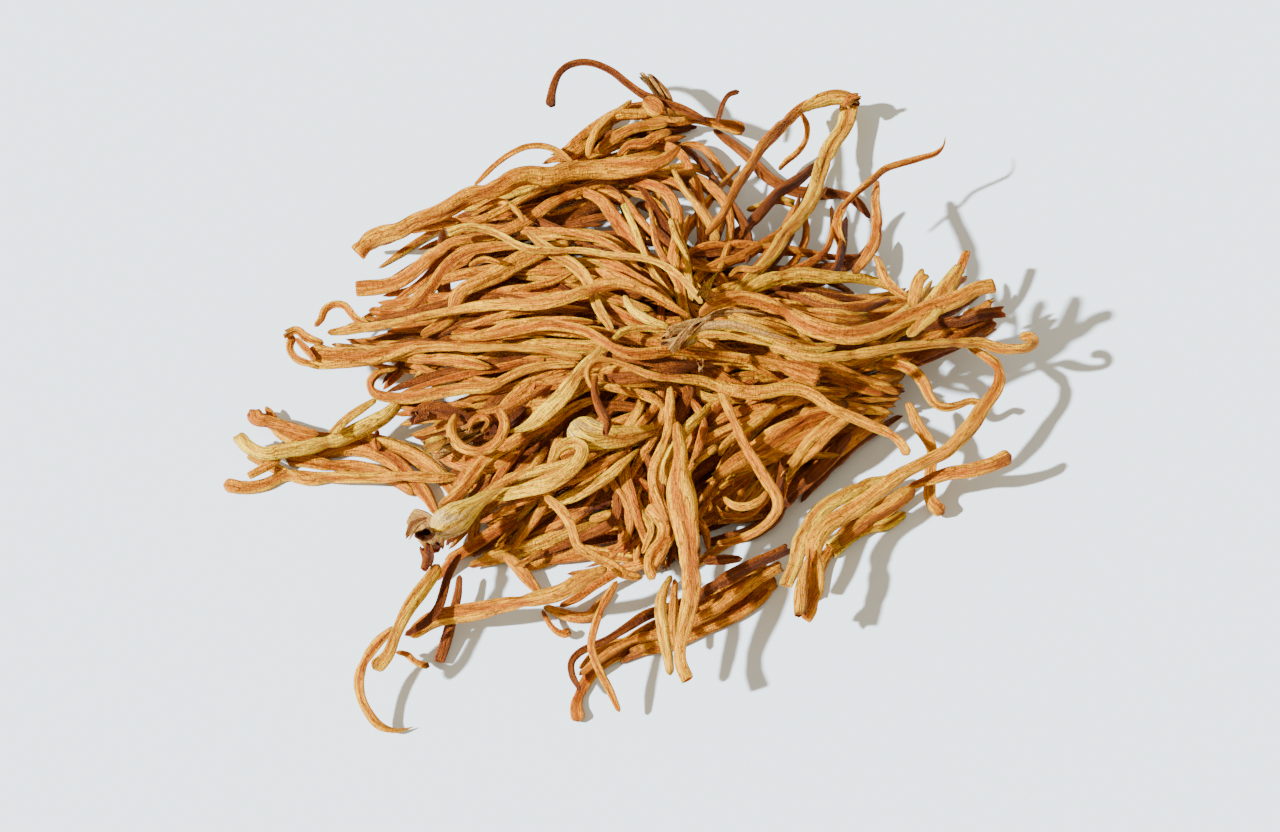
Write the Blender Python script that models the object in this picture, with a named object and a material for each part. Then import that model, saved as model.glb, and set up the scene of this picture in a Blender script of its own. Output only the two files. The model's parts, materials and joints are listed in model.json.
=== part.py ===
"""Dried cordyceps: one tangled clump of long, thin, shrivelled fungus strands.

Blender 4.5. Metres, +Z up. The origin is on the clump's flat underside, near the middle of the clump.

The strands lie on a heart of smaller, tightly tangled strands, and on each other. Each strand is drawn as a
route on the table, in millimetres. Its points are then raised, each along its own line to LAID_FROM, until
the strand clears the table, the heart and every strand laid before it. So the order of STRANDS is the order
in which they lie, from the bottom up. Thin strands are laid as guides only: they leave their room in the
heap, and the model holds no solid for them.
"""

from collections import namedtuple

import bmesh
import bpy
import numpy as np

MM = 0.001

# The heart of the clump: a low dome with a flat underside.
HEART_CENTRE = np.array([-1.0, 11.0, 0.0])
HEART_HALF = np.array([43.0, 33.0, 15.0])
HEART_RINGS = 6
HEART_SIDES = 20
HEART_ROUNDNESS = 0.9

# How the strands lie, in millimetres.
LAID_FROM = np.array([0.0, -289.0, 412.5])
STEP = 1.0
GAP = 0.5
FLOOR_GAP = 0.12
STIFFNESS = 1 / 34
SMOOTHING = 3.0
FLATNESS = 0.62
SLOPE_PASSES = 3
MOST_SLANT = 2.0

# How a strand is faceted.
SIDES = 6
RING_SPACING = 5.2
BEND_WEIGHT = 7.0
END_SCALE = 0.72
END_BULGE = 0.35
SHRIVEL = 0.04

# Linear colours, and one surface for all: dry and slightly waxy.
STRAW = (0.81, 0.58, 0.19)
GOLD = (0.75, 0.43, 0.08)
AMBER = (0.61, 0.26, 0.04)
RUST = (0.38, 0.11, 0.02)
PAPER = (0.61, 0.52, 0.38)
ROUGHNESS = 0.55

# widths are spaced evenly along the strand. lifts are the least heights above the table, spaced the same way.
Strand = namedtuple("Strand", "name tone widths route lifts solid", defaults=((0,), True))
GUIDE = False

STRANDS = (
    # Left outliers, on the table.
    Strand("left_low_orange", AMBER, (2.6, 3.4, 3.4, 2.4),
           ((-54.9, -8.9), (-52.2, -7.5), (-49.5, -6.2), (-46.7, -5.8), (-44, -6.8), (-41.2, -8.5),
            (-38.9, -10.8), (-37, -13.4), (-34.7, -16.8), (-33.5, -19.4))),
    Strand("left_low_long", GOLD, (2.6, 1.8, 2.1, 2.1, 2.0),
           ((-68, -14), (-65, -14.2), (-62.5, -13.9), (-58, -11.9), (-54.7, -12.2), (-46.5, -12.3),
            (-38.3, -12.2), (-29.8, -12.3))),
    Strand("left_stub", GOLD, (1.6,), ((-64.3, -12.1), (-61.7, -10.5), (-59.1, -8.9)), (0,), GUIDE),
    Strand("left_frayed", AMBER, (2.9, 2.3, 2.4),
           ((-64.9, 1.3), (-63.8, -0.8), (-61.3, -1.2), (-58.6, -2.2), (-55.9, -3.2), (-53.1, -3.9)),
           (2.5, 2.5, 0), GUIDE),
    Strand("left_ribbon", STRAW, (2.4, 2.9, 3.0, 2.6),
           ((-66.3, -3.8), (-64.3, -6.1), (-62, -7.4), (-59.2, -7.1), (-56.4, -6.8), (-53.6, -6.1),
            (-50.9, -5.2), (-48.2, -3.8), (-45.5, -2.2), (-42.8, -0.5), (-40, 3.2))),
    Strand("left_ribbon_branch", STRAW, (1.7,),
           ((-51, -3.8), (-49.5, -1.5), (-47, 1.2), (-44.2, 3.6)), (0,), GUIDE),
    # The low bundle across the front.
    Strand("front_bundle_lower", AMBER, (2.3, 2.5, 2.2, 1.9, 2.2),
           ((21.3, -32.8), (19.4, -35.6), (16.7, -37.8), (13.5, -39.6), (10.3, -41.1), (8.8, -42),
            (2.4, -44.9), (-0.8, -45.5), (-2.4, -46), (-5, -47.3), (-7.1, -49.1), (-8.6, -51.2),
            (-9.9, -53.9), (-10.3, -56.3), (-10, -57.8))),
    Strand("front_bundle_middle", AMBER, (2.2, 2.2, 1.8, 1.5),
           ((22.5, -29.5), (19, -32), (16.3, -34.5), (13.6, -36.7), (10.9, -38.3), (8, -39.9), (4.5, -41.5),
            (1.3, -42.6), (-1.1, -43.2), (-3.7, -44.6), (-5.9, -46.3), (-8, -48.5), (-9.3, -49.5))),
    Strand("front_bundle_upper", RUST, (2.2, 2.5, 2.2, 1.4, 1.1),
           ((24.2, -26.5), (19.4, -28.8), (15, -31.4), (11, -34), (7, -36.4), (0, -39.2), (-2.5, -41),
            (-5, -42.8), (-6.5, -43.8), (-8.8, -44.8), (-10.4, -46.3), (-11.1, -47.9), (-10.8, -49.4),
            (-9.6, -52.4))),
    Strand("front_dark_stub", RUST, (1.7,), ((10.3, -29), (13, -28.4), (16.5, -28)), (0,), GUIDE),
    # Low strands on the right.
    Strand("right_flared", STRAW, (2.2, 2.2, 2.4, 3.4),
           ((43, -19.3), (40, -21.5), (36.5, -22.3), (33.5, -24.2), (31, -26.2))),
    Strand("right_drop", GOLD, (2.0,),
           ((45, 3), (46, -1), (48.2, -6.6), (47.5, -13), (47.6, -17), (49.5, -19.5)), (7, 3, 0), GUIDE),
    Strand("right_blunt", GOLD, (2.2, 2.5, 2.3),
           ((44.5, -14.1), (47.3, -13.1), (50.1, -11.9), (52.8, -11.4), (55.6, -11), (58.5, -9.7),
            (61.1, -8.3)), (0, 3, 8)),
    Strand("right_hooked_branch", GOLD, (2.8, 2.4, 1.7, 1.4),
           ((41, 11), (43.8, 10.8), (46, 9.4), (47.2, 7.7), (48.2, 5.7), (49.2, 2.9), (50.9, 2), (53.4, 2.5),
            (55.7, 3.2), (57, 2.7)), (10, 8, 6, 6)),
    Strand("right_pale_foot", STRAW, (2.2, 2.8, 2.8, 2.4),
           ((41.9, -12.5), (38.6, -13.5), (35.3, -14.8), (31.9, -17.1), (29.4, -19), (27.4, -21.6),
            (25.7, -24.5), (24.7, -27.4), (24, -30.2), (23.2, -32.7))),
    # The back and the top of the picture.
    Strand("top_right_dark", RUST, (1.6, 2.0, 2.2, 2.0, 1.8),
           ((13.2, 62), (16, 59.2), (18.3, 56.9), (20.9, 53.8), (23.2, 50.8), (25.5, 49.3), (27.8, 48.1),
            (33.7, 47.8), (36, 47.4), (38.2, 45.5), (40, 42.5))),
    Strand("top_short_branch", GOLD, (1.3,),
           ((30.1, 65), (30.1, 62.6), (28.8, 59.2), (26.9, 56.2), (25, 53.1)), (0,), GUIDE),
    Strand("top_cross", AMBER, (1.5, 1.7, 2.5),
           ((-0.9, 62.7), (2.1, 64.3), (6.3, 63.9), (9.3, 64.3), (12.2, 63.9), (15.8, 63.1), (18.7, 62.3)),
           (4,), GUIDE),
    Strand("top_left_link", GOLD, (2.3,), ((-8, 57), (-6.2, 59.2), (-3.3, 61.5), (0, 63.1), (5, 64.5)),
           (5,), GUIDE),
    Strand("top_inner_link", AMBER, (2.0,), ((-4, 56.5), (-1.8, 58.9), (1, 59.3), (3, 60.8), (5.7, 61.9)),
           (3,), GUIDE),
    Strand("top_bow", AMBER, (1.7,),
           ((6.6, 58.5), (9, 59.2), (11.1, 58.4), (12.6, 56.5), (14, 53.8), (15.5, 50.8), (17, 48.9)),
           (2,), GUIDE),
    Strand("top_bright", GOLD, (1.8, 2.2, 2.0),
           ((5.7, 53.1), (7.4, 50), (9.2, 47.1), (10.9, 43.7), (12.3, 41), (13.4, 37.5))),
    Strand("top_stub", STRAW, (2.1,), ((18.7, 43.7), (21, 44.5), (24, 46), (27, 45.2)), (0,), GUIDE),
    Strand("top_left_drop", GOLD, (1.7,),
           ((-1.5, 69.4), (-4.2, 66.2), (-6.2, 63.9), (-8, 61.2), (-8.9, 58.5), (-9.2, 56)), (6, 2),
           GUIDE),
    Strand("top_arch", GOLD, (1.4, 1.5, 1.4),
           ((-29, 50), (-27, 52.7), (-24.8, 55.3), (-22.1, 57.3), (-19.2, 58.7), (-16.3, 58.2),
            (-13.9, 56.7), (-12.1, 55)), (5, 8, 5)),
    Strand("top_under_long", AMBER, (2.0, 2.6, 2.6, 2.2),
           ((-30, 38), (-24, 40), (-19.4, 42.1), (-15.7, 45.1), (-11.3, 47.8), (-8.5, 49.3), (-4, 50.4))),
    Strand("top_small_bow", GOLD, (1.3,),
           ((-29.5, 42.9), (-27.2, 45), (-24.9, 46.4), (-22.6, 45.3), (-20.8, 43.2), (-20, 41.4)), (0,),
           GUIDE),
    Strand("left_open_end", AMBER, (3.0, 2.8, 3.0, 2.4),
           ((-48.4, 26.7), (-45.5, 27.1), (-42.1, 28.2), (-39.3, 30.4), (-36.5, 32.6), (-32.8, 36.6),
            (-30, 37.4), (-25, 37.9)), (7, 4, 0)),
    Strand("left_under_curve", AMBER, (2.2, 2.4, 2.2),
           ((-46, 22), (-40, 22), (-37, 25), (-35, 28.2), (-33.8, 30.8), (-30, 34.4), (-26, 35.8),
            (-21, 36.4))),
    Strand("left_broad_rise", GOLD, (2.4, 3.2, 3.4, 2.6),
           ((-37, 17), (-32.4, 21), (-31, 25.4), (-27.4, 28.2), (-24.1, 30.4), (-21, 32.6), (-17.5, 34.5),
            (-12.5, 36.5))),
    Strand("left_rise_branch", GOLD, (1.5,), ((-29.5, 31.5), (-27, 33), (-24, 32.2)), (0,), GUIDE),
    Strand("left_short_cross", GOLD, (1.3,), ((-21, 26.8), (-17, 27.6), (-14.2, 28.6), (-11.2, 30.4)),
           (0,), GUIDE),
    Strand("long_thick_top", GOLD, (3.6, 3.0, 3.2, 3.4, 3.7, 3.6, 1.9),
           ((-48.7, 34.7), (-45.9, 38), (-42, 39.5), (-39.8, 41.4), (-34.7, 44), (-30.4, 47), (-26, 48.2),
            (-20.3, 52), (-15.8, 52.2), (-11.4, 53.1), (-4.1, 53.5), (2.1, 54.3), (5, 55.8), (7.1, 58.1)),
           (8, 7, 5)),
    Strand("top_knot", PAPER, (1.4, 2.8, 3.2), ((1.2, 75.3), (3, 72.4), (4.6, 69.6), (5.4, 66.9)),
           (3,)),
    Strand("hook_top", RUST, (1.9, 1.6, 1.5, 1.7, 1.5),
           ((-15.7, 68), (-15.5, 72), (-14.8, 75.3), (-13, 77.6), (-10.3, 78.4), (-7.3, 77.6), (-4.2, 75.4),
            (-1.8, 72.8), (0.5, 70.6), (6.6, 67.8), (9.3, 66), (11.6, 64.6)), (11, 13, 8, 4)),
    Strand("top_small_hook", RUST, (1.0,), ((14.2, 66.2), (14.8, 68.6), (16.1, 70.9), (17.9, 71.6)),
           (2, 4), GUIDE),
    # The loop at the top right.
    Strand("loop_rising", AMBER, (1.9, 2.2, 2.2, 2.4),
           ((11.6, 38.8), (13.5, 41.4), (15.3, 45.1), (17.2, 48.9), (18.4, 51.2), (20.3, 55.4),
            (22.1, 58.9), (24.6, 62.3), (26.8, 65.4), (29.3, 67.6), (31.9, 68.8), (34.2, 69.2)), (0, 2, 3)),
    Strand("loop_pale", STRAW, (3.4, 3.0, 2.6, 2.4, 1.7),
           ((37.8, 68.8), (37.4, 66.6), (36.2, 63.1), (34.3, 58.9), (32.8, 55), (31.2, 51.2), (29.9, 47.4),
            (28.4, 44), (26.6, 40.6), (25, 38), (23.8, 35.5), (22.5, 33), (20.4, 30.8), (18.6, 28.6),
            (16.3, 25.8)), (3, 2, 0)),
    Strand("loop_thread", GOLD, (1.2,), ((15.3, 29.3), (17, 31.1), (19.3, 31.1), (22, 31.8)), (0,), GUIDE),
    # The right shoulder.
    Strand("shoulder_pale", STRAW, (2.4, 2.6, 2.2, 1.7),
           ((17.5, 25.3), (19.8, 27.3), (22.1, 28.8), (25, 29.6), (27.8, 30), (33.5, 29.1), (38.5, 28.8),
            (41, 27.8), (43.5, 26.4))),
    Strand("shoulder_riser", AMBER, (1.9, 2.2, 2.5),
           ((41.7, 50.4), (41.2, 47), (41.1, 43.3), (41, 39.9), (41, 37.7), (39.8, 34.4), (38.3, 32.2),
            (36.8, 30.4))),
    Strand("shoulder_short", GOLD, (1.8,), ((40.7, 34), (41.3, 31.9), (42, 29), (43.8, 26.4), (46, 24.6)),
           (0,), GUIDE),
    Strand("right_thin_tip", AMBER, (0.9, 1.1, 1.4, 1.5, 1.4),
           ((54.4, 60.6), (54.2, 59.2), (52.7, 57.2), (49.6, 56), (46.6, 55), (43.8, 53.8), (41.7, 51.6),
            (39.3, 48.9), (36.9, 46.3), (35.4, 44.4)), (9, 8, 5, 3)),
    Strand("right_fan_left", GOLD, (2.3,), ((46.5, 22.5), (47.3, 25.7), (48.7, 29.3), (49.3, 30)),
           (9,), GUIDE),
    Strand("right_fan_tip", AMBER, (1.7, 1.9, 1.6),
           ((50.8, 23.9), (53.2, 26.5), (55, 30), (56.6, 34.4)), (10, 10)),
    Strand("right_fan_pale", STRAW, (2.4,), ((48.9, 26.9), (51.5, 30.6), (53.4, 33.1), (54.6, 34.9)), (9,),
           GUIDE),
    Strand("right_dark_end", RUST, (2.2, 2.0, 1.8),
           ((61.9, 22.1), (60, 21.8), (57.8, 21.1), (55, 19.7), (52, 19.2), (47, 18.2)), (11, 10)),
    # Front right of the heap.
    Strand("inner_orange_long", RUST, (2.2, 2.8, 2.8, 2.4, 2.0),
           ((34.6, -3.8), (31.6, -7.8), (28.2, -11.5), (25.1, -14.5), (23, -17.4), (20.8, -21),
            (17.5, -22.9), (13.8, -23.9), (10.8, -24.6))),
    Strand("inner_bow_outer", GOLD, (1.4,),
           ((12, -17.4), (13.3, -19.4), (15.5, -19.7), (17.6, -19.4), (19.2, -18.1), (20.9, -16.1),
            (21.8, -14.2)), (0,), GUIDE),
    Strand("inner_bow_short", GOLD, (1.4,),
           ((18.9, -11.2), (16.7, -12.2), (14.5, -13.5), (12.8, -14.8)), (0,), GUIDE),
    Strand("inner_yellow_short", GOLD, (2.2,),
           ((22.8, 2.5), (20.8, 0.2), (18.6, -2.2), (16, -4.2), (14, -5.9), (12.9, -7.9)), (0,), GUIDE),
    Strand("inner_yellow_tip", GOLD, (1.7,), ((12.7, -5.6), (10.7, -7.6), (8.8, -9.5)), (0,), GUIDE),
    Strand("inner_amber_long", AMBER, (2.8, 3.3, 3.0, 2.7),
           ((31.9, 0.8), (28.6, -0.2), (25.8, -2.2), (23.2, -4.5), (20.7, -6.5), (17.9, -8.2), (15.1, -9.9),
            (12.3, -12.2))),
    Strand("inner_split_tip", GOLD, (2.0, 2.1, 1.7),
           ((34.9, -0.2), (32.4, -2.2), (29.8, -5.2), (27.5, -8.2), (25.5, -9.9), (24, -12.3))),
    # Front left of the heap.
    Strand("left_slope_inner", GOLD, (1.6,),
           ((-15.3, -6.2), (-16.6, -8.8), (-17.9, -10.5), (-20.1, -11.5), (-22.2, -12.8), (-24.3, -14.1),
            (-26.4, -16)), (0,), GUIDE),
    Strand("left_slope_thin", GOLD, (1.7,),
           ((-22.5, -4.2), (-25.2, -6.2), (-26.9, -7.8), (-27.8, -10.5), (-28.8, -13.4), (-30.9, -16.4)),
           (0,), GUIDE),
    Strand("left_slope", GOLD, (2.0, 2.3, 2.4, 2.2),
           ((-7, 3.2), (-9.5, 2.2), (-12.3, 0.5), (-14.8, -1.5), (-17.9, -3.5), (-20.9, -5.5),
            (-23.7, -7.5), (-25.6, -9.2), (-26.9, -11.5), (-28.2, -14.1), (-30.2, -16.4), (-32.3, -18.4))),
    Strand("front_left_base", PAPER, (3.6, 5.6, 5.2, 3.4),
           ((-37.2, -20.4), (-35.6, -21.6), (-34.4, -23.6), (-33.6, -26.4))),
    Strand("left_ring_base", PAPER, (3.4, 4.6, 4.2), ((-33.4, -6.8), (-31, -5.4), (-28.6, -3.6), (-26, -2))),
    Strand("blunt_club", STRAW, (4.2, 4.5, 3.8, 3.4, 3.0),
           ((-10.8, -1.2), (-9.2, -2.8), (-7, -3.8), (-4.5, -4.2), (-1.7, -4), (0, -3.5), (2.5, -2.8))),
    Strand("front_left_hook", STRAW, (2.4, 2.7, 2.7, 2.5, 1.9),
           ((-32, -22.6), (-29.9, -20), (-27.7, -17.7), (-25.6, -16.1), (-22.9, -15.5), (-19.6, -15.1),
            (-16.6, -14.5), (-13.6, -13.2), (-11.2, -11.2), (-9.3, -8.5), (-9.2, -6), (-10.9, -5),
            (-13.2, -6.2), (-14.4, -9))),
    Strand("twisted_pair", GOLD, (1.8,),
           ((-15.3, -16.2), (-13.3, -17.8), (-11.9, -20), (-10.8, -22.6), (-10.5, -24.8), (-8.8, -26.7),
            (-6.4, -28.3), (-4.3, -29.6), (-2.4, -31.1), (0, -31.5))),
    # The front left tail.
    Strand("tail_inner_stub", AMBER, (2.7, 2.4),
           ((-22, -27.2), (-19.5, -30.2), (-17.9, -32.4), (-16.1, -34.6)), (2, 0), GUIDE),
    Strand("tail_inner_thread", GOLD, (1.2,), ((-20.4, -29.6), (-18, -28.4), (-15.8, -26.2)), (2,), GUIDE),
    Strand("tail_lower_link", AMBER, (2.0,),
           ((-15.5, -37.4), (-12.9, -38.6), (-10.3, -39.3), (-8.2, -39), (-6.6, -37), (-4.8, -34.4)),
           (0,), GUIDE),
    Strand("tail_knob", AMBER, (1.0, 1.1, 1.7),
           ((-15.5, -37.7), (-14.7, -39.6), (-13.2, -41.8), (-11.9, -42.4), (-11.1, -41.4)), (0,),
           GUIDE),
    Strand("tail_black_tip", RUST, (1.8, 1.7, 1.9),
           ((-29.2, -31.5), (-29.4, -34.9), (-30, -38.1), (-30.4, -41.1), (-31, -43.9), (-31.7, -46.9)),
           (3, 0)),
    Strand("tail_flat", GOLD, (3.6, 3.2, 2.6, 2.6, 3.0),
           ((-36.4, -42.3), (-32.6, -39.3), (-28.9, -38.3), (-25.7, -38), (-22.5, -37.4), (-19.3, -36.6),
            (-16.1, -35.7), (-12.9, -34.6), (-10.3, -33), (-8.2, -31.5), (-5.6, -30.2))),
    Strand("tail_dark_arc", RUST, (1.6,),
           ((-29, -27.5), (-30.5, -30.9), (-31.1, -34), (-32.3, -37.1), (-33.1, -39.3), (-35.2, -40.8),
            (-37, -42.3)), (4, 2, 0)),
    Strand("tail_curl", GOLD, (1.9, 1.8, 1.6, 1.1),
           ((-38.9, -41.5), (-41.2, -43.6), (-43, -46.1), (-44.1, -48.8), (-44.3, -51.5), (-43.6, -54.2),
            (-42, -56.9), (-40.1, -58.8), (-38, -59.5), (-35.4, -58.9))),
    Strand("tail_thread", GOLD, (1.1,), ((-38.6, -45.5), (-37, -45.8), (-35.4, -47.3), (-33.1, -48.2)),
           (0,), GUIDE),
    Strand("tail_long", STRAW, (3.0, 2.6, 2.4, 2.2, 2.4),
           ((-32.4, -29.6), (-33.7, -32.1), (-35.2, -34.6), (-36.7, -37.1), (-37.9, -39.6), (-38.8, -42.4),
            (-39.5, -44.9), (-40.7, -47.3), (-41.8, -48.3)), (6, 4, 0)),
    # The front legs.
    Strand("leg_thin_left", GOLD, (1.3,),
           ((1.6, -13.4), (0.3, -14.3), (-0.3, -16.1), (0.3, -18.4), (1.6, -20.3), (1.9, -22.6),
            (1.2, -24.9), (0.3, -27.1)), (0,), GUIDE),
    Strand("leg_thin_right", GOLD, (1.9,),
           ((1.4, -17.7), (2.4, -19.4), (3.9, -22), (3.5, -24.6), (2.1, -26.8), (1.6, -28.1),
            (1.7, -30.2), (2.4, -31.9)), (0,), GUIDE),
    Strand("leg_middle", GOLD, (1.7,),
           ((5.6, -31.9), (5.3, -35), (5.2, -38.2), (5, -41.3), (5.3, -44.3)), (0,), GUIDE),
    Strand("leg_left", STRAW, (1.8, 2.0, 2.0, 2.2),
           ((5, -31.2), (3.6, -34.4), (3.2, -37.5), (3.5, -40.6), (3.8, -43.7), (4.2, -46.8), (4.6, -49.8)),
           (0,), GUIDE),
    Strand("leg_upper_left", GOLD, (1.6, 1.7, 1.7, 1.8),
           ((5.2, 5.9), (4.9, 2.2), (4.6, -1.5), (4.3, -5.2), (2.9, -8.5), (2.2, -11.4), (2.4, -14.7),
            (3.5, -17.7), (4.6, -20.7))),
    Strand("leg_broad", GOLD, (2.2, 2.5, 4.6, 5.0, 3.8, 3.4, 2.8, 2.6),
           ((6.6, -1.5), (6.5, -5.5), (6.2, -9.5), (6.4, -13.4), (6.9, -16.7), (7.3, -20), (7.6, -23.3),
            (7.9, -26.5), (8, -30), (8.3, -33.4), (8, -36.5), (7.4, -39.3), (6.6, -41.8), (6, -43.9),
            (6.2, -48.2), (7.2, -50.4))),
    Strand("leg_thin_front", GOLD, (1.5, 1.5, 1.6, 1.7),
           ((-3.8, -32.7), (-5.6, -35.9), (-6.8, -39.3), (-7.5, -42.7), (-7.6, -45.1), (-6.7, -47.6),
            (-5.5, -50.3), (-4.4, -53), (-3.3, -56)), (3, 3, 0)),
    # The left side of the top layer.
    Strand("left_lower_loop", GOLD, (2.2, 2.5, 2.6, 2.2, 1.8, 1.4),
           ((-41.2, 9.8), (-43.6, 9.2), (-45.1, 7.3), (-44.7, 5), (-42.3, 4.1), (-39, 4.2), (-31.9, 5.1),
            (-27.6, 5.5), (-24.8, 6), (-22.9, 7.4), (-20.4, 8.8), (-17.9, 10.1), (-14.2, 10.7),
            (-10.9, 10.8))),
    Strand("left_fat", GOLD, (4.5, 4.4, 3.4, 2.4, 2.0, 2.1, 2.2),
           ((-56, 13), (-53.8, 12.3), (-50.1, 12.3), (-46.4, 12.6), (-42.2, 13.3), (-39.4, 13.8),
            (-36.4, 14.2), (-27.9, 14), (-19.5, 13.8), (-15.2, 13.1), (-12.4, 12.2), (-9.9, 12.1)),
           (6, 6, 7)),
    Strand("left_small_loop", GOLD, (1.4,),
           ((-55.4, 18.6), (-54.3, 20.2), (-53.9, 22), (-52.5, 23.3), (-50.6, 23.2), (-49.4, 21.8),
            (-48.3, 20.4), (-46, 19.3)), (7,), GUIDE),
    Strand("pale_blade", STRAW, (1.2, 2.6, 3.7, 3.6, 1.4),
           ((-5.9, 16.8), (-7.6, 12.9), (-10.1, 9.5), (-12.8, 4.6), (-14.7, 2.2), (-16.9, -0.2),
            (-19.1, -2.2), (-21.3, -3.2), (-22.7, -3.6))),
    Strand("crown_left_pale", STRAW, (1.8, 2.0, 2.0, 1.8),
           ((-19.4, 38.8), (-14.4, 34), (-11.3, 31.5), (-9.4, 29), (-7.4, 24), (-6.2, 20.7), (-4.8, 17.9))),
    Strand("crown_back_thin", STRAW, (1.2,),
           ((-3, 45.1), (-2, 42.5), (-0.8, 39.5), (0.4, 35.5), (1.2, 32.6), (2.3, 29.7), (4, 27.1),
            (5.7, 25)), (0,), GUIDE),
    Strand("crown_back_pale", STRAW, (1.7,),
           ((5.6, 41.7), (6.4, 38), (7.5, 34.8), (8.1, 31.5), (8.6, 28.2), (8.9, 24)), (0,), GUIDE),
    Strand("left_long_upper", GOLD, (1.6, 1.8, 2.0, 2.2, 2.2, 2.1),
           ((-52.8, 17.5), (-44, 19), (-39.7, 19.7), (-36.6, 20.7), (-32.4, 21.8), (-28.1, 22.9),
            (-19.6, 23.4), (-12.5, 24.5), (-8.3, 26.4), (-3.7, 27.5), (-1.2, 26.8), (1.4, 25.7),
            (3.7, 24.3), (6, 22.5), (8.3, 21.1)), (7, 0, 0)),
    Strand("crown_short", STRAW, (1.4,), ((-4.8, 15.8), (-2.5, 17.9), (0.5, 18.5), (3, 18.2), (6, 18.2)),
           (0,), GUIDE),
    Strand("middle_long", GOLD, (1.6, 1.8, 1.8, 1.8, 2.0, 2.2, 3.6),
           ((-31.9, 16.4), (-28, 16.2), (-24.6, 16.6), (-21.8, 17.4), (-19, 18.2), (-16.2, 18.8),
            (-13.4, 18.6), (-10.5, 17.9), (-7.9, 16.5), (-5.3, 14.7), (-3.1, 13.3), (-0.3, 12.8),
            (6.2, 13.3), (10.4, 13), (14.6, 12.6), (18.8, 11.7), (22.5, 10.8), (25.8, 10.1), (29.4, 8.4))),
    # The crown, where strands meet at a pale base, and the long strands that leave it to the right.
    Strand("crown_base", PAPER, (3.6, 5.4, 5.0, 3.6), ((5.6, 16), (7.6, 17), (9.6, 18), (11.6, 18.6))),
    Strand("crown_lower_right", STRAW, (2.0, 2.3, 2.2, 1.9),
           ((12.6, 18.6), (14.6, 18.9), (16.6, 18.8), (19, 18.1), (21.8, 16.7), (24.6, 15.4), (27.4, 14.4),
            (30.3, 14.2), (33, 14.5))),
    Strand("crown_upper_right", GOLD, (2.4, 2.7, 3.0, 3.3, 3.0, 3.0, 2.8),
           ((10.2, 21.6), (11.9, 23.2), (14.5, 24.5), (17.7, 24.6), (20.9, 23.9), (23.6, 22.3),
            (26.4, 20.4), (29.2, 18.6), (32, 17.5), (36.5, 17), (39.9, 17.9), (43.4, 19.6), (46.9, 21.4),
            (50.5, 22.8), (53.5, 23.9), (56.5, 25.4), (58.5, 26.6), (60.4, 27)), (0, 0, 10, 12)),
    Strand("right_big_loop", GOLD, (2.0, 2.4, 3.0, 2.6, 2.3, 2.8, 3.3, 3.6, 3.4),
           ((55.7, 14), (57.5, 12.6), (59.7, 11.4), (60.7, 9), (60.3, 6.7), (59.5, 4.8), (57.9, 2.2),
            (55.9, -0.5), (53.8, -3.2), (51.6, -6.2), (48.7, -8.2), (45.9, -9.8), (43, -11.8),
            (40.1, -14.1), (36.7, -16.8), (33.4, -19.7), (31.7, -20.9), (29.5, -23), (28.1, -25.6),
            (27.7, -28.4), (27.9, -31.8), (27.4, -34.6), (26.6, -37.1), (25.6, -39)),
           (10, 10, 8, 0)),
    Strand("right_curled_tip", GOLD, (1.8, 1.9, 1.9, 1.9, 1.6),
           ((22.2, 14.1), (25, 13.1), (27.2, 12.4), (30, 11.8), (34.6, 12.4), (38, 13), (41.5, 13.8),
            (48.4, 15), (55.2, 15), (58, 14.9), (60.2, 14), (62.5, 13.6), (64.8, 13.6), (66.7, 14.4),
            (67.3, 15.9), (66.2, 17), (64.7, 16.6)), (0, 0, 10, 11)),
    Strand("crown_front_bow", GOLD, (1.6, 1.8, 1.8, 1.8, 1.8, 1.6),
           ((13.4, 5.2), (14.9, 0.8), (16.5, -3.9), (18.4, -7.9), (20.1, -11.5), (21.6, -14.8),
            (22.6, -17.3), (21.9, -19.4), (20.3, -21.7), (18.1, -23.4), (15.4, -24.7), (12.7, -25.4))),
    Strand("long_across", GOLD, (1.4, 1.4, 1.8, 2.2, 2.4, 2.2, 2.0, 1.6),
           ((-6.9, 4.6), (-8.3, 6.8), (-8.8, 9.4), (-7.4, 11.4), (-4.8, 11.4), (-2, 10.2), (0, 9),
            (2.5, 8.2), (5.3, 7.4), (8.4, 7.5), (11.2, 7), (13.6, 5.8), (15.9, 5.1), (19.2, 4.6),
            (22.3, 5.1), (25.4, 5.6), (28.1, 5.1), (30.1, 3.5), (31.9, 1.8), (33.9, 0.8), (37, -0.8),
            (39.7, -2.5), (42.2, -3.8), (43.8, -5.6), (44.5, -7.4))),
    Strand("pale_long_top", STRAW, (1.8, 1.3, 1.3, 1.3, 1.3, 1.3),
           ((-33, 39), (-29, 40), (-25.5, 38.7), (-23, 37.5), (-20.9, 36), (-18.6, 35.3), (-14.2, 35.1),
            (-9.9, 35), (-5.5, 34.1), (-1.1, 33.7), (1.4, 33), (4, 31.9), (6, 30.1), (8, 27.8), (9.7, 25.3),
            (10.5, 23.9))),
)


def along(values, count):
    """The values spread evenly over this many points."""
    return np.interp(np.linspace(0, 1, count), np.linspace(0, 1, len(values)), values)


def unit(vectors):
    return vectors / np.linalg.norm(vectors, axis=-1, keepdims=True)


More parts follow.
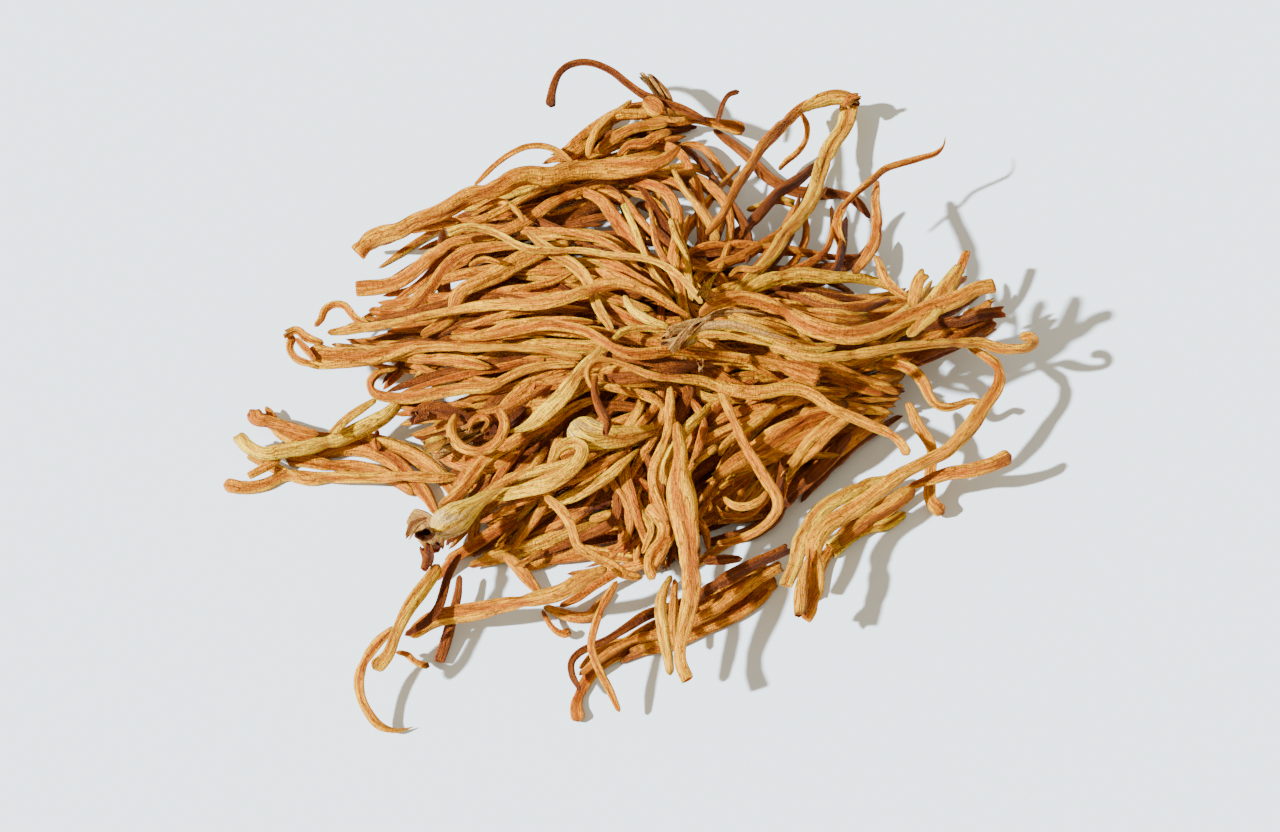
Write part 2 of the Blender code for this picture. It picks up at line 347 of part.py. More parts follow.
def smooth_line(points, step):
    """Points about every step along a smooth curve through the given points."""
    points = np.array(points, float)
    places = np.r_[0, np.cumsum(np.linalg.norm(np.diff(points, axis=0), axis=1))]
    slopes = np.gradient(points, places, axis=0)
    wanted = np.linspace(0, places[-1], max(round(places[-1] / step), 6) + 1)
    before = np.clip(np.searchsorted(places, wanted, side="right") - 1, 0, len(points) - 2)
    span = (places[before + 1] - places[before])[:, None]
    u = (wanted - places[before])[:, None] / span
    return (
        (1 + 2 * u) * (1 - u) ** 2 * points[before]
        + u * (1 - u) ** 2 * span * slopes[before]
        + u**2 * (3 - 2 * u) * points[before + 1]
        - u**2 * (1 - u) * span * slopes[before + 1]
    )


def blurred(values, radius):
    """The values averaged with their neighbours by a bell curve, whose radius is in points."""
    reach = int(3 * radius)
    bell = np.exp(-0.5 * (np.arange(-reach, reach + 1) / radius) ** 2)
    padded = np.pad(values, reach, mode="edge")
    return np.convolve(padded, bell / bell.sum(), mode="valid")


def stiff_over(least, step):
    """The lowest course of a stiff strand that stays above these heights."""
    places = np.arange(len(least)) * step
    bend = STIFFNESS / 2 * (places[:, None] - places[None, :]) ** 2
    course = blurred((least[None, :] - bend).max(axis=1), SMOOTHING / step)
    for _ in range(4):
        lacking = np.maximum(least - course, 0)
        wider = np.array([lacking[max(i - 3, 0):i + 4].max() for i in range(len(lacking))])
        course = course + blurred(wider, 1.5)
    return np.maximum(course, least)


def over_heart(floor, way, margin):
    """How far along its way each point clears the heart by its margin."""
    half = HEART_HALF + margin[:, None]
    start = (floor - HEART_CENTRE) / half
    ray = way / half
    square = (ray**2).sum(axis=1)
    middle = -(start * ray).sum(axis=1) / square
    inside = middle**2 - ((start**2).sum(axis=1) - 1) / square
    return np.where(inside > 0, middle + np.sqrt(np.maximum(inside, 0)), 0)


class Heap:
    """Every strand laid so far, as points with a half width and a half thickness along the way it was laid."""

    def __init__(self):
        self.points = np.empty((0, 3))
        self.half_widths = np.empty(0)
        self.half_depths = np.empty(0)

    def over(self, floor, way, half_width, half_depth):
        """How far along its way each point clears the strands already here."""
        if not len(self.points):
            return np.zeros(len(floor))
        apart = self.points[None] - floor[:, None]
        reached = (apart * way[:, None]).sum(axis=2)
        aside = np.sqrt(np.maximum((apart**2).sum(axis=2) - reached**2, 0))
        wide = half_width[:, None] + self.half_widths[None] + GAP
        deep = half_depth[:, None] + self.half_depths[None] + GAP
        near = np.maximum(1 - (aside / wide) ** 2, 0)
        return np.where(near > 0, reached + deep * np.sqrt(near), 0).max(axis=1)

    def add(self, points, half_width, half_depth):
        self.points = np.vstack([self.points, points])
        self.half_widths = np.r_[self.half_widths, half_width]
        self.half_depths = np.r_[self.half_depths, half_depth]


def lay(strand, heap):
    """Lays the strand on the heap. Returns its centre line, and its half widths, half thicknesses and sides."""
    line = smooth_line(strand.route, STEP)
    count = len(line)
    floor = np.c_[line, np.zeros(count)]
    way = unit(LAID_FROM - floor)
    half_width = along(strand.widths, count) / 2
    half_thick = half_width * FLATNESS
    step = np.linalg.norm(np.diff(line, axis=0), axis=1).mean()
    side = unit(np.cross(np.gradient(floor, axis=0), way))
    top = unit(np.cross(side, np.gradient(floor, axis=0)))
    reach_down = np.hypot(half_width * side[:, 2], half_thick * top[:, 2])
    least = np.maximum(along(strand.lifts, count), reach_down + FLOOR_GAP) / way[:, 2]
    least = np.maximum(least, over_heart(floor, way, half_thick + GAP))
    half_depth = half_thick
    for _ in range(SLOPE_PASSES):
        bound = np.maximum(least, heap.over(floor, way, half_width, half_depth))
        lift = stiff_over(bound, step)
        points = floor + way * lift[:, None]
        slant = np.abs((unit(np.gradient(points, axis=0)) * way).sum(axis=1))
        half_depth = half_thick * np.minimum(1 / np.sqrt(1 - np.minimum(slant, 0.9) ** 2), MOST_SLANT)
    heap.add(points, half_width, half_depth)
    side = unit(np.cross(np.gradient(points, axis=0), way))
    return points, half_width, half_thick, side


def ring_places(points):
    """Where a strand's rings go: close together where it bends."""
    heading = unit(np.gradient(points, axis=0))
    steps = np.linalg.norm(np.diff(points, axis=0), axis=1)
    turning = np.linalg.norm(np.diff(heading, axis=0), axis=1)
    measure = np.r_[0, np.cumsum(steps + BEND_WEIGHT * turning)]
    count = max(round(measure[-1] / RING_SPACING), 4) + 1
    return np.interp(np.linspace(0, measure[-1], count), measure, np.arange(len(points)))


def at(values, places):
    """The values at these places, which may fall between two of them."""
    index = np.arange(len(values))
    if values.ndim == 1:
        return np.interp(places, index, values)
    return np.stack([np.interp(places, index, column) for column in values.T], axis=1)


def strand_mesh(name, points, half_width, half_thick, side):
    """A closed tube of six-sided rings, flattened, with a blunt point at each end."""
    places = ring_places(points)
    centres = at(points, places)
    heading = unit(at(np.gradient(points, axis=0), places))
    across = unit(at(side, places))
    across = unit(across - heading * (across * heading).sum(axis=1)[:, None])
    upward = np.cross(heading, across)
    wide = at(half_width, places) * (1 - SHRIVEL * (np.arange(len(places)) % 3) / 2)
    thick = at(half_thick, places) * (1 - SHRIVEL * (np.arange(len(places)) % 2))
    wide[[0, -1]] *= END_SCALE
    thick[[0, -1]] *= END_SCALE
    mesh = bmesh.new()
    rings = []
    for centre, a, b, x, y in zip(centres, across, upward, wide, thick, strict=True):
        turns = np.arange(SIDES) * 2 * np.pi / SIDES
        ring = centre + np.outer(np.cos(turns), a * x) + np.outer(np.sin(turns), b * y)
        rings.append([mesh.verts.new(corner * MM) for corner in ring])
    for lower, upper in zip(rings, rings[1:]):
        for i in range(SIDES):
            j = (i + 1) % SIDES
            mesh.faces.new((lower[i], lower[j], upper[j]))
            mesh.faces.new((lower[i], upper[j], upper[i]))
    first = mesh.verts.new((centres[0] - heading[0] * END_BULGE) * MM)
    last = mesh.verts.new((centres[-1] + heading[-1] * END_BULGE) * MM)
    for i in range(SIDES):
        j = (i + 1) % SIDES
        mesh.faces.new((rings[0][j], rings[0][i], first))
        mesh.faces.new((rings[-1][i], rings[-1][j], last))
    return finished(mesh, name)


def heart_mesh(name):
    """The dome of small inner strands, with a flat underside."""
    mesh = bmesh.new()
    top = mesh.verts.new((HEART_CENTRE + HEART_HALF * (0, 0, 1)) * MM)
    rings = []
    for k in range(HEART_RINGS, 0, -1):
        rise = np.sin((1 - k / HEART_RINGS) * np.pi / 2) ** HEART_ROUNDNESS
        spread = np.sqrt(1 - rise**2)
        ring = []
        for i in range(HEART_SIDES):
            turn = i * 2 * np.pi / HEART_SIDES
            place = HEART_HALF * (np.cos(turn) * spread, np.sin(turn) * spread, rise)
            ring.append(mesh.verts.new((HEART_CENTRE + place) * MM))
        rings.append(ring)
    mesh.faces.new(rings[0][::-1])
    for lower, upper in zip(rings, rings[1:]):
        for i in range(HEART_SIDES):
            j = (i + 1) % HEART_SIDES
            mesh.faces.new((lower[i], lower[j], upper[j], upper[i]))
    for i in range(HEART_SIDES):
        mesh.faces.new((rings[-1][i], rings[-1][(i + 1) % HEART_SIDES], top))
    return finished(mesh, name)


def finished(mesh, name):
    """The bmesh as mesh data, shaded smooth, with its faces pointing out."""
    bmesh.ops.recalc_face_normals(mesh, faces=mesh.faces)
    data = bpy.data.meshes.new(name)
    mesh.to_mesh(data)
    mesh.free()
    data.shade_smooth()
    return data


def material(name, tone):
    made = bpy.data.materials.new(name)
    made.use_nodes = True
    shader = made.node_tree.nodes["Principled BSDF"]
    shader.inputs["Base Color"].default_value = (*tone, 1)
    shader.inputs["Roughness"].default_value = ROUGHNESS
    shader.inputs["Metallic"].default_value = 0
    return made


def place(data, tone, solid=True):
    piece = bpy.data.objects.new(data.name, data)
    data.materials.append(material(data.name, tone))
    bpy.context.scene.collection.objects.link(piece)
    if not solid:
        piece.hide_render = True
        piece.display_type = "WIRE"
    return piece


def clear_scene():
    for item in list(bpy.data.objects):
        bpy.data.objects.remove(item, do_unlink=True)


def main():
    clear_scene()
    place(heart_mesh("inner_strands"), RUST)
    heap = Heap()
    for strand in STRANDS:
        place(strand_mesh(strand.name, *lay(strand, heap)), strand.tone, strand.solid)


main()
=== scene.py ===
"""The looks of the dried cordyceps clump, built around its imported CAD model.

Every CAD strand is a plain six-sided tube. Here its centre line, widths and sides are read back from its
mesh, and a shrivelled strand with furrows, twists and finished ends is swept along it. The thin strands,
which have no CAD solid, are laid among them in the same way as in the CAD model. Filler strands, drawn from
fixed seeds, pack the room between them and lie lowest on the table, and more of them fill the heart of the
clump, laid against the inside of its CAD dome. Lengths here are in millimetres; only finished meshes, the
camera and the lights are in metres.
"""

import json
from collections import namedtuple

import bpy
import numpy as np
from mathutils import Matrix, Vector


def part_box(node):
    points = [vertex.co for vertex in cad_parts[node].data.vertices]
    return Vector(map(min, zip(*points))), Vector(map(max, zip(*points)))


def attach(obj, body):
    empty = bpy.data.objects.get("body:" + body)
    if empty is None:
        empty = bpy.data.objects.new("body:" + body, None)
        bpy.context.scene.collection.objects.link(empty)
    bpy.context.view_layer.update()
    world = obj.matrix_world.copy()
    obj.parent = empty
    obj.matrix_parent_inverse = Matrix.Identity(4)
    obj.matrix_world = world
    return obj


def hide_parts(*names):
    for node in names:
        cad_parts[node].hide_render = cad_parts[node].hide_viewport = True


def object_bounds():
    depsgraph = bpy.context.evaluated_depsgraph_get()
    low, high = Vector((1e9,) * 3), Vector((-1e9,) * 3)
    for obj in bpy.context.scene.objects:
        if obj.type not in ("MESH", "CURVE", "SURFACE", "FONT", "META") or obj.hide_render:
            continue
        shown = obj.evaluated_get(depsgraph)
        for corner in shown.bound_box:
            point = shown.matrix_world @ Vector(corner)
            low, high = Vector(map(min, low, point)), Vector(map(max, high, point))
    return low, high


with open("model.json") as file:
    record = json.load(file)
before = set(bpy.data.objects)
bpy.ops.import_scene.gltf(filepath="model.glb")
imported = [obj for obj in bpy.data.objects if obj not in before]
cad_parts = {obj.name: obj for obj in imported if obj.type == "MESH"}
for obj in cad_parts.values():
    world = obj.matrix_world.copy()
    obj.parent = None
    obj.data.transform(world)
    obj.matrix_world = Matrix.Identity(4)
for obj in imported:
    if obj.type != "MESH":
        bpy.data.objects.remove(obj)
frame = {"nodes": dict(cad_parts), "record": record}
cad_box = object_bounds()

MM = 0.001
BOX_MARGIN = 0.01

# The view: 55 degrees above the table, from the front, on a long lens.
CAMERA_PLACE = np.array([0.0, -288.867, 412.545])
CAMERA_TILT = 35.0
LENS = 85.0
SENSOR = 36.0

# How strands lie. The same rule and values as the CAD model's, but for PRESSED: strands that the CAD model
# doesn't lay press this far into what is under them.
LAID_FROM = CAMERA_PLACE
STEP = 1.0
GAP = 0.5
PRESSED = -0.7
FLOOR_GAP = 0.12
STIFFNESS = 1 / 34
SMOOTHING = 3.0
FLATNESS = 0.62
SLOPE_PASSES = 3
MOST_SLANT = 2.0
CAD_SIDES = 6
CAD_END_SCALE = 0.72

# How finely strands are meshed, as the step along them and the sides around them.
FINE_STEP = 0.45
FINE_SIDES = 26
STUMP_STEP = 0.3
STUMP_POINTS = 8
FILL_STEP = 0.9
FILL_SIDES = 15
DEEP_STEP = 1.1
DEEP_SIDES = 10

# A hollow inside an open end, ring by ring: its width as a share of the rim, and its depth.
HOLLOW = ((0.84, 0.05), (0.74, 0.7), (0.6, 1.4), (0.35, 1.9))

# How much lighter or darker single strands are than their slot's colours; the bed and inner strands lean
# darker and the deep ones are made browner, as painted shade low in the pile.
TINT = 0.18
FIBRE_TINT = 0.4
STUMP_TINT = 0.45
FILL_TINTS = (-0.25, 0.2)
BED_TINTS = (-0.3, 0.1)
INNER_TINTS = (-0.3, 0.2)
DEEP_SHADE = 0.05

# The first seed of each list of strands. The generated strands' seeds stand with their other values.
LOW_SEED = 1000
TOP_SEED = 2000
STUMP_SEED = 3000

# The generated strands: their lengths, how far they turn from the way their neighbours run, their half
# widths, and the outline of their width from end to end.
Sort = namedtuple("Sort", "lengths turning half_widths outline")
FILL = Sort((40, 110), 0.15, (0.75, 1.6), (0.8, 0.95, 1.05, 1, 0.8))
BED = Sort((36, 90), 0.32, (0.7, 1.4), (0.5, 1, 1.05, 1, 0.5))
INNER = Sort((24, 60), 0.4, (0.75, 1.5), (0.8, 1, 1.05, 1, 0.75))
ROUNDNESS = (0.55, 0.8)
INNER_ROUNDNESS = (0.5, 0.8)
SHORTEST = 20
GROUP = 50

# The strands inside the heart.
INNER_TRIES = 400
INNER_SEED = 11
INNER_DEEPEST = 8.0
INNER_SHORTEST = 12
# Their slots run dark, as painted shade inside the heart.
INNER_SHARES = {"golden": 0.2, "amber": 0.45, "rust_brown": 0.35}

# The strands lying lowest, on the table and on the heart. Behind BED_TOP only some of them are kept.
BED_TRIES = 340
BED_SEED = 5
BED_INSET = 2.5
BED_DEEPEST = 3.2
BED_TOP = 27
BED_ABOVE = 0.22
# Their slots run darker than the filler's, as painted shade low in the pile.
BED_SHARES = {"golden": 0.3, "amber": 0.45, "rust_brown": 0.25}

# The small strands packed between the named ones. Those in the upper part of the pack are lighter, and the
# lower ones get darker slots as painted shade.
FILL_TRIES = 3400
FILL_SEED = 29
FILL_GAP = 0.15
FILL_ROOM = 1.2
FILL_MOST_ROOM = 6
FILL_DIP = 2.4
FILL_DIP_REACH = 8.0
FILL_HIGH_FROM = 0.6
FILL_HIGH_SHARES = {"pale_straw": 0.22, "golden": 0.56, "amber": 0.18, "rust_brown": 0.04}
FILL_LOW_SHARES = {"pale_straw": 0.04, "golden": 0.34, "amber": 0.40, "rust_brown": 0.22}
FILL_END_SHARES = {"plain": 0.8, "club": 0.12, "frayed": 0.08}

# The grid of cells on the table that holds how high the heap is and which way its strands run.
CELL = 0.5
REACH = 76.0
CELLS = int(2 * REACH / CELL)
PRINT_REACH = 5
VIEW_SLANT = 0.82
LEVEL_BLUR = 4.0
FIELD_BLUR = 4.5
LOOSE_LEVEL = 2.0
SQUEEZE = 0.7

# Where the clump is packed full, as its outline against the table, seen from the camera.
PACKED = (
    (-7, 65), (2, 73), (11, 65), (18, 58), (22, 52), (28, 64), (37, 66), (34, 49), (37, 43),
    (43, 46), (42, 30), (49, 28), (55, 32), (61, 26), (58, 19), (48, 15), (46, 3), (41, -5),
    (34, -9), (29, -15), (21, -22), (12, -29), (6, -32), (0, -33), (-7, -32), (-14, -31),
    (-24, -30), (-31, -30), (-36, -23), (-32, -12), (-36, -9), (-42, -4), (-45, 6), (-49, 11),
    (-53, 15), (-51, 19), (-46, 24), (-45, 29), (-49, 36), (-47, 39.5), (-36, 41.5), (-27, 48),
    (-18, 54),
)

# The look of each material slot, as linear colours: lit ridge, body, deep furrow. The deep colour gives
# darker random patches and the painted shade in furrows, pinches and hollows.
TONES = {
    "pale_straw": ((0.84, 0.53, 0.010), (0.68, 0.295, 0.003), (0.42, 0.122, 0.002)),
    "golden": ((0.82, 0.415, 0.0006), (0.64, 0.208, 0.0005), (0.40, 0.086, 0.0004)),
    "amber": ((0.70, 0.295, 0.0006), (0.54, 0.143, 0.0005), (0.32, 0.056, 0.0004)),
    "rust_brown": ((0.25, 0.064, 0.001), (0.17, 0.037, 0.0008), (0.08, 0.012, 0.0004)),
    "papery_base": ((0.54, 0.31, 0.085), (0.42, 0.185, 0.028), (0.13, 0.036, 0.003)),
}
CREAM = (0.74, 0.53, 0.22)
# Painted shade in the cracks.
CRACK_SHADE = (0.17, 0.036, 0.001)
# The brown of tips and specks, which also paints shade in hollows and on the deep strands.
BROWN_AND_SHADE = (0.05, 0.012, 0.002)
BUMP_DEPTH = 0.0006
SPECULAR = 0.16
INNER_GLOW = 0.35
GLOW_COLOUR = (1.0, 0.36, 0.06)
GLOW_DEPTH = 0.0013

# The stage and its light: a low sun from the left, and a warm sky that fills the shadows.
FLOOR_HALF = 4.0
FLOOR_COLOUR = (0.74, 0.82, 0.88, 1)
SUN_ENERGY = 16.5
SUN_BLUR = 2.2
SUN_COLOUR = (0.88, 0.95, 1.0)
SUN_TRAVEL = (0.95, 0.31)
SUN_HEIGHT = 37.5
SKY_COLOUR = (0.80, 0.68, 0.50, 1)

Small = namedtuple("Small", "name slot widths route lifts ends", defaults=((0,), ("plain", "plain")))
Stump = namedtuple("Stump", "name slot place low tall width lean")
Course = namedtuple("Course", "points half_width half_thick side")

# How the ends of the CAD strands look, the end with the lower X first. The others are plain.
ENDS = {
    "left_low_long": ("club", "plain"),
    "left_ribbon": ("frayed", "plain"),
    "front_bundle_lower": ("club", "frayed"),
    "front_bundle_middle": ("plain", "frayed"),
    "front_bundle_upper": ("plain", "frayed"),
    "right_flared": ("open", "plain"),
    "right_blunt": ("plain", "club"),
    "right_hooked_branch": ("plain", "club"),
    "right_pale_foot": ("open", "plain"),
    "left_open_end": ("open", "plain"),
    "long_thick_top": ("open", "plain"),
    "top_knot": ("point", "plain"),
    "hook_top": ("club", "plain"),
    "loop_pale": ("plain", "open"),
    "right_thin_tip": ("plain", "point"),
    "right_fan_tip": ("plain", "open"),
    "right_dark_end": ("plain", "frayed"),
    "inner_split_tip": ("frayed", "plain"),
    "front_left_base": ("open", "frayed"),
    "left_ring_base": ("open", "plain"),
    "blunt_club": ("round", "plain"),
    "tail_black_tip": ("open", "plain"),
    "tail_curl": ("plain", "point"),
    "tail_long": ("club", "plain"),
    "leg_broad": ("plain", "open"),
    "left_fat": ("frayed", "plain"),
    "pale_blade": ("point", "point"),
    "middle_long": ("plain", "frayed"),
    "crown_base": ("open", "open"),
    "crown_upper_right": ("plain", "open"),
    "right_big_loop": ("frayed", "plain"),
    "right_curled_tip": ("plain", "club"),
    "long_across": ("plain", "club"),
    "pale_long_top": ("open", "plain"),
}

# Every strand from the bottom of the heap up: the CAD strands by name, and the small ones with their routes,
# as points on the table where the camera sees them.
LAYERS = (
    "left_low_orange", "left_low_long",
    Small("left_stub", "golden", (1.6,), ((-64.3, -12.1), (-61.7, -10.5), (-59.1, -8.9)), (0,),
        ("open", "plain")),
    Small("left_frayed", "amber", (2.9, 2.3, 2.4), ((-64.9, 1.3), (-63.8, -0.8), (-61.3, -1.2),
        (-58.6, -2.2), (-55.9, -3.2), (-53.1, -3.9)), (2.5, 2.5, 0), ("frayed", "plain")),
    "left_ribbon",
    Small("left_ribbon_branch", "pale_straw", (1.7,), ((-51, -3.8), (-49.5, -1.5), (-47, 1.2),
        (-44.2, 3.6)), (0,), ("frayed", "plain")),
    "front_bundle_lower", "front_bundle_middle", "front_bundle_upper",
    Small("front_dark_stub", "rust_brown", (1.7,), ((10.3, -29), (13, -28.4), (16.5, -28))),
    "right_flared",
    Small("right_drop", "golden", (2,), ((45, 3), (46, -1), (48.2, -6.6), (47.5, -13), (47.6, -17),
        (49.5, -19.5)), (7, 3, 0), ("plain", "club")),
    "right_blunt", "right_hooked_branch", "right_pale_foot", "top_right_dark",
    Small("top_short_branch", "golden", (1.3,), ((28.6, 66.4), (29.7, 63.5), (29.4, 60), (27.9, 57.2),
        (25.7, 54.9), (24.4, 53.1)), (4, 2)),
    Small("top_cross", "amber", (1.5, 1.7, 2.5), ((-0.9, 62.7), (2.1, 64.3), (6.3, 63.9), (9.3, 64.3),
        (12.2, 63.9), (15.8, 63.1), (18.7, 62.3)), (4,), ("plain", "club")),
    Small("top_left_link", "golden", (2.3,), ((-8, 57), (-6.2, 59.2), (-3.3, 61.5), (0, 63.1), (5, 64.5)),
        (5,)),
    Small("top_inner_link", "amber", (2,), ((-4, 56.5), (-1.8, 58.9), (1, 59.3), (3, 60.8), (5.7, 61.9)),
        (3,)),
    Small("top_bow", "amber", (1.7,), ((6.6, 58.5), (9, 59.2), (11.1, 58.4), (12.6, 56.5), (14, 53.8),
        (15.5, 50.8), (17, 48.9)), (2,)),
    "top_bright",
    Small("top_stub", "pale_straw", (2.1,), ((18.7, 43.7), (21, 44.5), (24, 46), (27, 45.2)), (0,),
        ("plain", "open")),
    Small("top_left_drop", "golden", (1.7,), ((-1.5, 69.4), (-4.2, 66.2), (-6.2, 63.9), (-8, 61.2),
        (-8.9, 58.5), (-9.2, 56)), (6, 2)),
    "top_arch", "top_under_long",
    Small("top_small_bow", "golden", (1.3,), ((-29.5, 42.9), (-27.2, 45), (-24.9, 46.4), (-22.6, 45.3),
        (-20.8, 43.2), (-20, 41.4))),
    "left_open_end", "left_under_curve", "left_broad_rise",
    Small("left_rise_branch", "golden", (1.5,), ((-29.5, 31.5), (-27, 33), (-24, 32.2))),
    Small("left_short_cross", "golden", (1.3,), ((-21, 26.8), (-17, 27.6), (-14.2, 28.6), (-11.2, 30.4))),
    "long_thick_top", "top_knot", "hook_top",
    Small("top_small_hook", "rust_brown", (1,), ((13.6, 63.8), (14.2, 66.2), (14.8, 68.6), (16.1, 70.9),
        (17.9, 71.6)), (2, 4), ("plain", "club")),
    "loop_rising", "loop_pale",
    Small("loop_thread", "golden", (1.2,), ((15.3, 29.3), (17, 31.1), (19.3, 31.1), (22, 31.8))),
    "shoulder_pale", "shoulder_riser",
    Small("shoulder_short", "golden", (1.8,), ((40.7, 34), (41.3, 31.9), (42, 29), (43.8, 26.4),
        (46, 24.6))),
    "right_thin_tip",
    Small("right_fan_left", "golden", (2.3,), ((46.5, 22.5), (47.3, 25.7), (48.7, 29.3), (49.3, 30)), (9,),
        ("plain", "frayed")),
    "right_fan_tip",
    Small("right_fan_pale", "pale_straw", (2.6, 3.6, 3.6, 3), ((45.5, 16.5), (48.9, 21.5), (52.5, 26.8),
        (55.4, 31.4)), (9,), ("plain", "frayed")),
    "right_dark_end", "inner_orange_long",
    Small("inner_bow_outer", "golden", (1.4,), ((12, -17.4), (13.3, -19.4), (15.5, -19.7), (17.6, -19.4),
        (19.2, -18.1), (20.9, -16.1), (21.8, -14.2))),
    Small("inner_bow_short", "golden", (1.4,), ((18.9, -11.2), (16.7, -12.2), (14.5, -13.5),
        (12.8, -14.8))),
    Small("inner_yellow_short", "golden", (2.2,), ((22.8, 2.5), (20.8, 0.2), (18.6, -2.2), (16, -4.2),
        (14, -5.9), (12.9, -7.9))),
    Small("inner_yellow_tip", "golden", (1.7,), ((12.7, -5.6), (10.7, -7.6), (8.8, -9.5))),
    "inner_amber_long", "inner_split_tip",
    Small("left_slope_inner", "golden", (1.6,), ((-15.3, -6.2), (-16.6, -8.8), (-17.9, -10.5),
        (-20.1, -11.5), (-22.2, -12.8), (-24.3, -14.1), (-26.4, -16))),
    Small("left_slope_thin", "golden", (1.7,), ((-22.5, -4.2), (-25.2, -6.2), (-26.9, -7.8), (-27.8, -10.5),
        (-28.8, -13.4), (-30.9, -16.4))),
    "left_slope", "front_left_base", "left_ring_base", "blunt_club", "front_left_hook", "twisted_pair",
    Small("tail_inner_stub", "amber", (2.7, 2.4), ((-22, -27.2), (-19.5, -30.2), (-17.9, -32.4),
        (-16.1, -34.6)), (2, 0)),
    Small("tail_inner_thread", "golden", (1.2,), ((-20.4, -29.6), (-18, -28.4), (-15.8, -26.2)), (2,)),
    Small("tail_lower_link", "amber", (2,), ((-15.5, -37.4), (-12.9, -38.6), (-10.3, -39.3), (-8.2, -39),
        (-6.6, -37), (-4.8, -34.4))),
    Small("tail_knob", "amber", (1, 1.1, 1.7), ((-15.5, -37.7), (-14.7, -39.6), (-13.2, -41.8),
        (-11.9, -42.4), (-11.1, -41.4)), (0,), ("plain", "club")),
    "tail_black_tip", "tail_flat", "tail_dark_arc", "tail_curl",
    Small("tail_thread", "golden", (1.1,), ((-38.6, -45.5), (-37, -45.8), (-35.4, -47.3), (-33.1, -48.2)),
        (0,), ("plain", "club")),
    "tail_long",
    Small("leg_thin_left", "golden", (1.3,), ((1.6, -13.4), (0.3, -14.3), (-0.3, -16.1), (0.3, -18.4),
        (1.6, -20.3), (1.9, -22.6), (1.2, -24.9), (0.3, -27.1))),
    Small("leg_thin_right", "golden", (1.9,), ((1.4, -17.7), (2.4, -19.4), (3.9, -22), (3.5, -24.6),
        (2.1, -26.8), (1.6, -28.1), (1.7, -30.2), (2.4, -31.9)), (0,), ("club", "club")),
    Small("leg_middle", "golden", (1.7,), ((5.6, -31.9), (5.3, -35), (5.2, -38.2), (5, -41.3),
        (5.3, -44.3))),
    Small("leg_left", "pale_straw", (1.8, 2, 2, 2.2), ((5, -31.2), (3.6, -34.4), (3.2, -37.5), (3.5, -40.6),
        (3.8, -43.7), (4.2, -46.8), (4.6, -49.8))),
    "leg_upper_left", "leg_broad", "leg_thin_front", "left_lower_loop", "left_fat",
    Small("left_small_loop", "golden", (1.4,), ((-55.4, 18.6), (-54.3, 20.2), (-53.9, 22), (-52.5, 23.3),
        (-50.6, 23.2), (-49.4, 21.8), (-48.3, 20.4), (-46, 19.3)), (7,)),
    "pale_blade", "crown_left_pale",
    Small("crown_back_thin", "pale_straw", (1.2,), ((-3, 45.1), (-2, 42.5), (-0.8, 39.5), (0.4, 35.5),
        (1.2, 32.6), (2.3, 29.7), (4, 27.1), (5.7, 25)), (0,), ("open", "plain")),
    Small("crown_back_pale", "pale_straw", (1.7,), ((5.6, 41.7), (6.4, 38), (7.5, 34.8), (8.1, 31.5),
        (8.6, 28.2), (8.9, 24)), (0,), ("open", "plain")),
    "left_long_upper",
    Small("crown_short", "pale_straw", (1.4,), ((-4.8, 15.8), (-2.5, 17.9), (0.5, 18.5), (3, 18.2),
        (6, 18.2))),
    "middle_long", "crown_base", "crown_lower_right", "crown_upper_right", "right_big_loop",
    "right_curled_tip", "crown_front_bow", "long_across", "pale_long_top",
)

# The bases that are torn fibres rather than one tube: how many each has, and how far they reach past it.
FIBRES = {"crown_base": 11, "left_ring_base": 5, "top_knot": 4}
FIBRE_REACH = 2.0

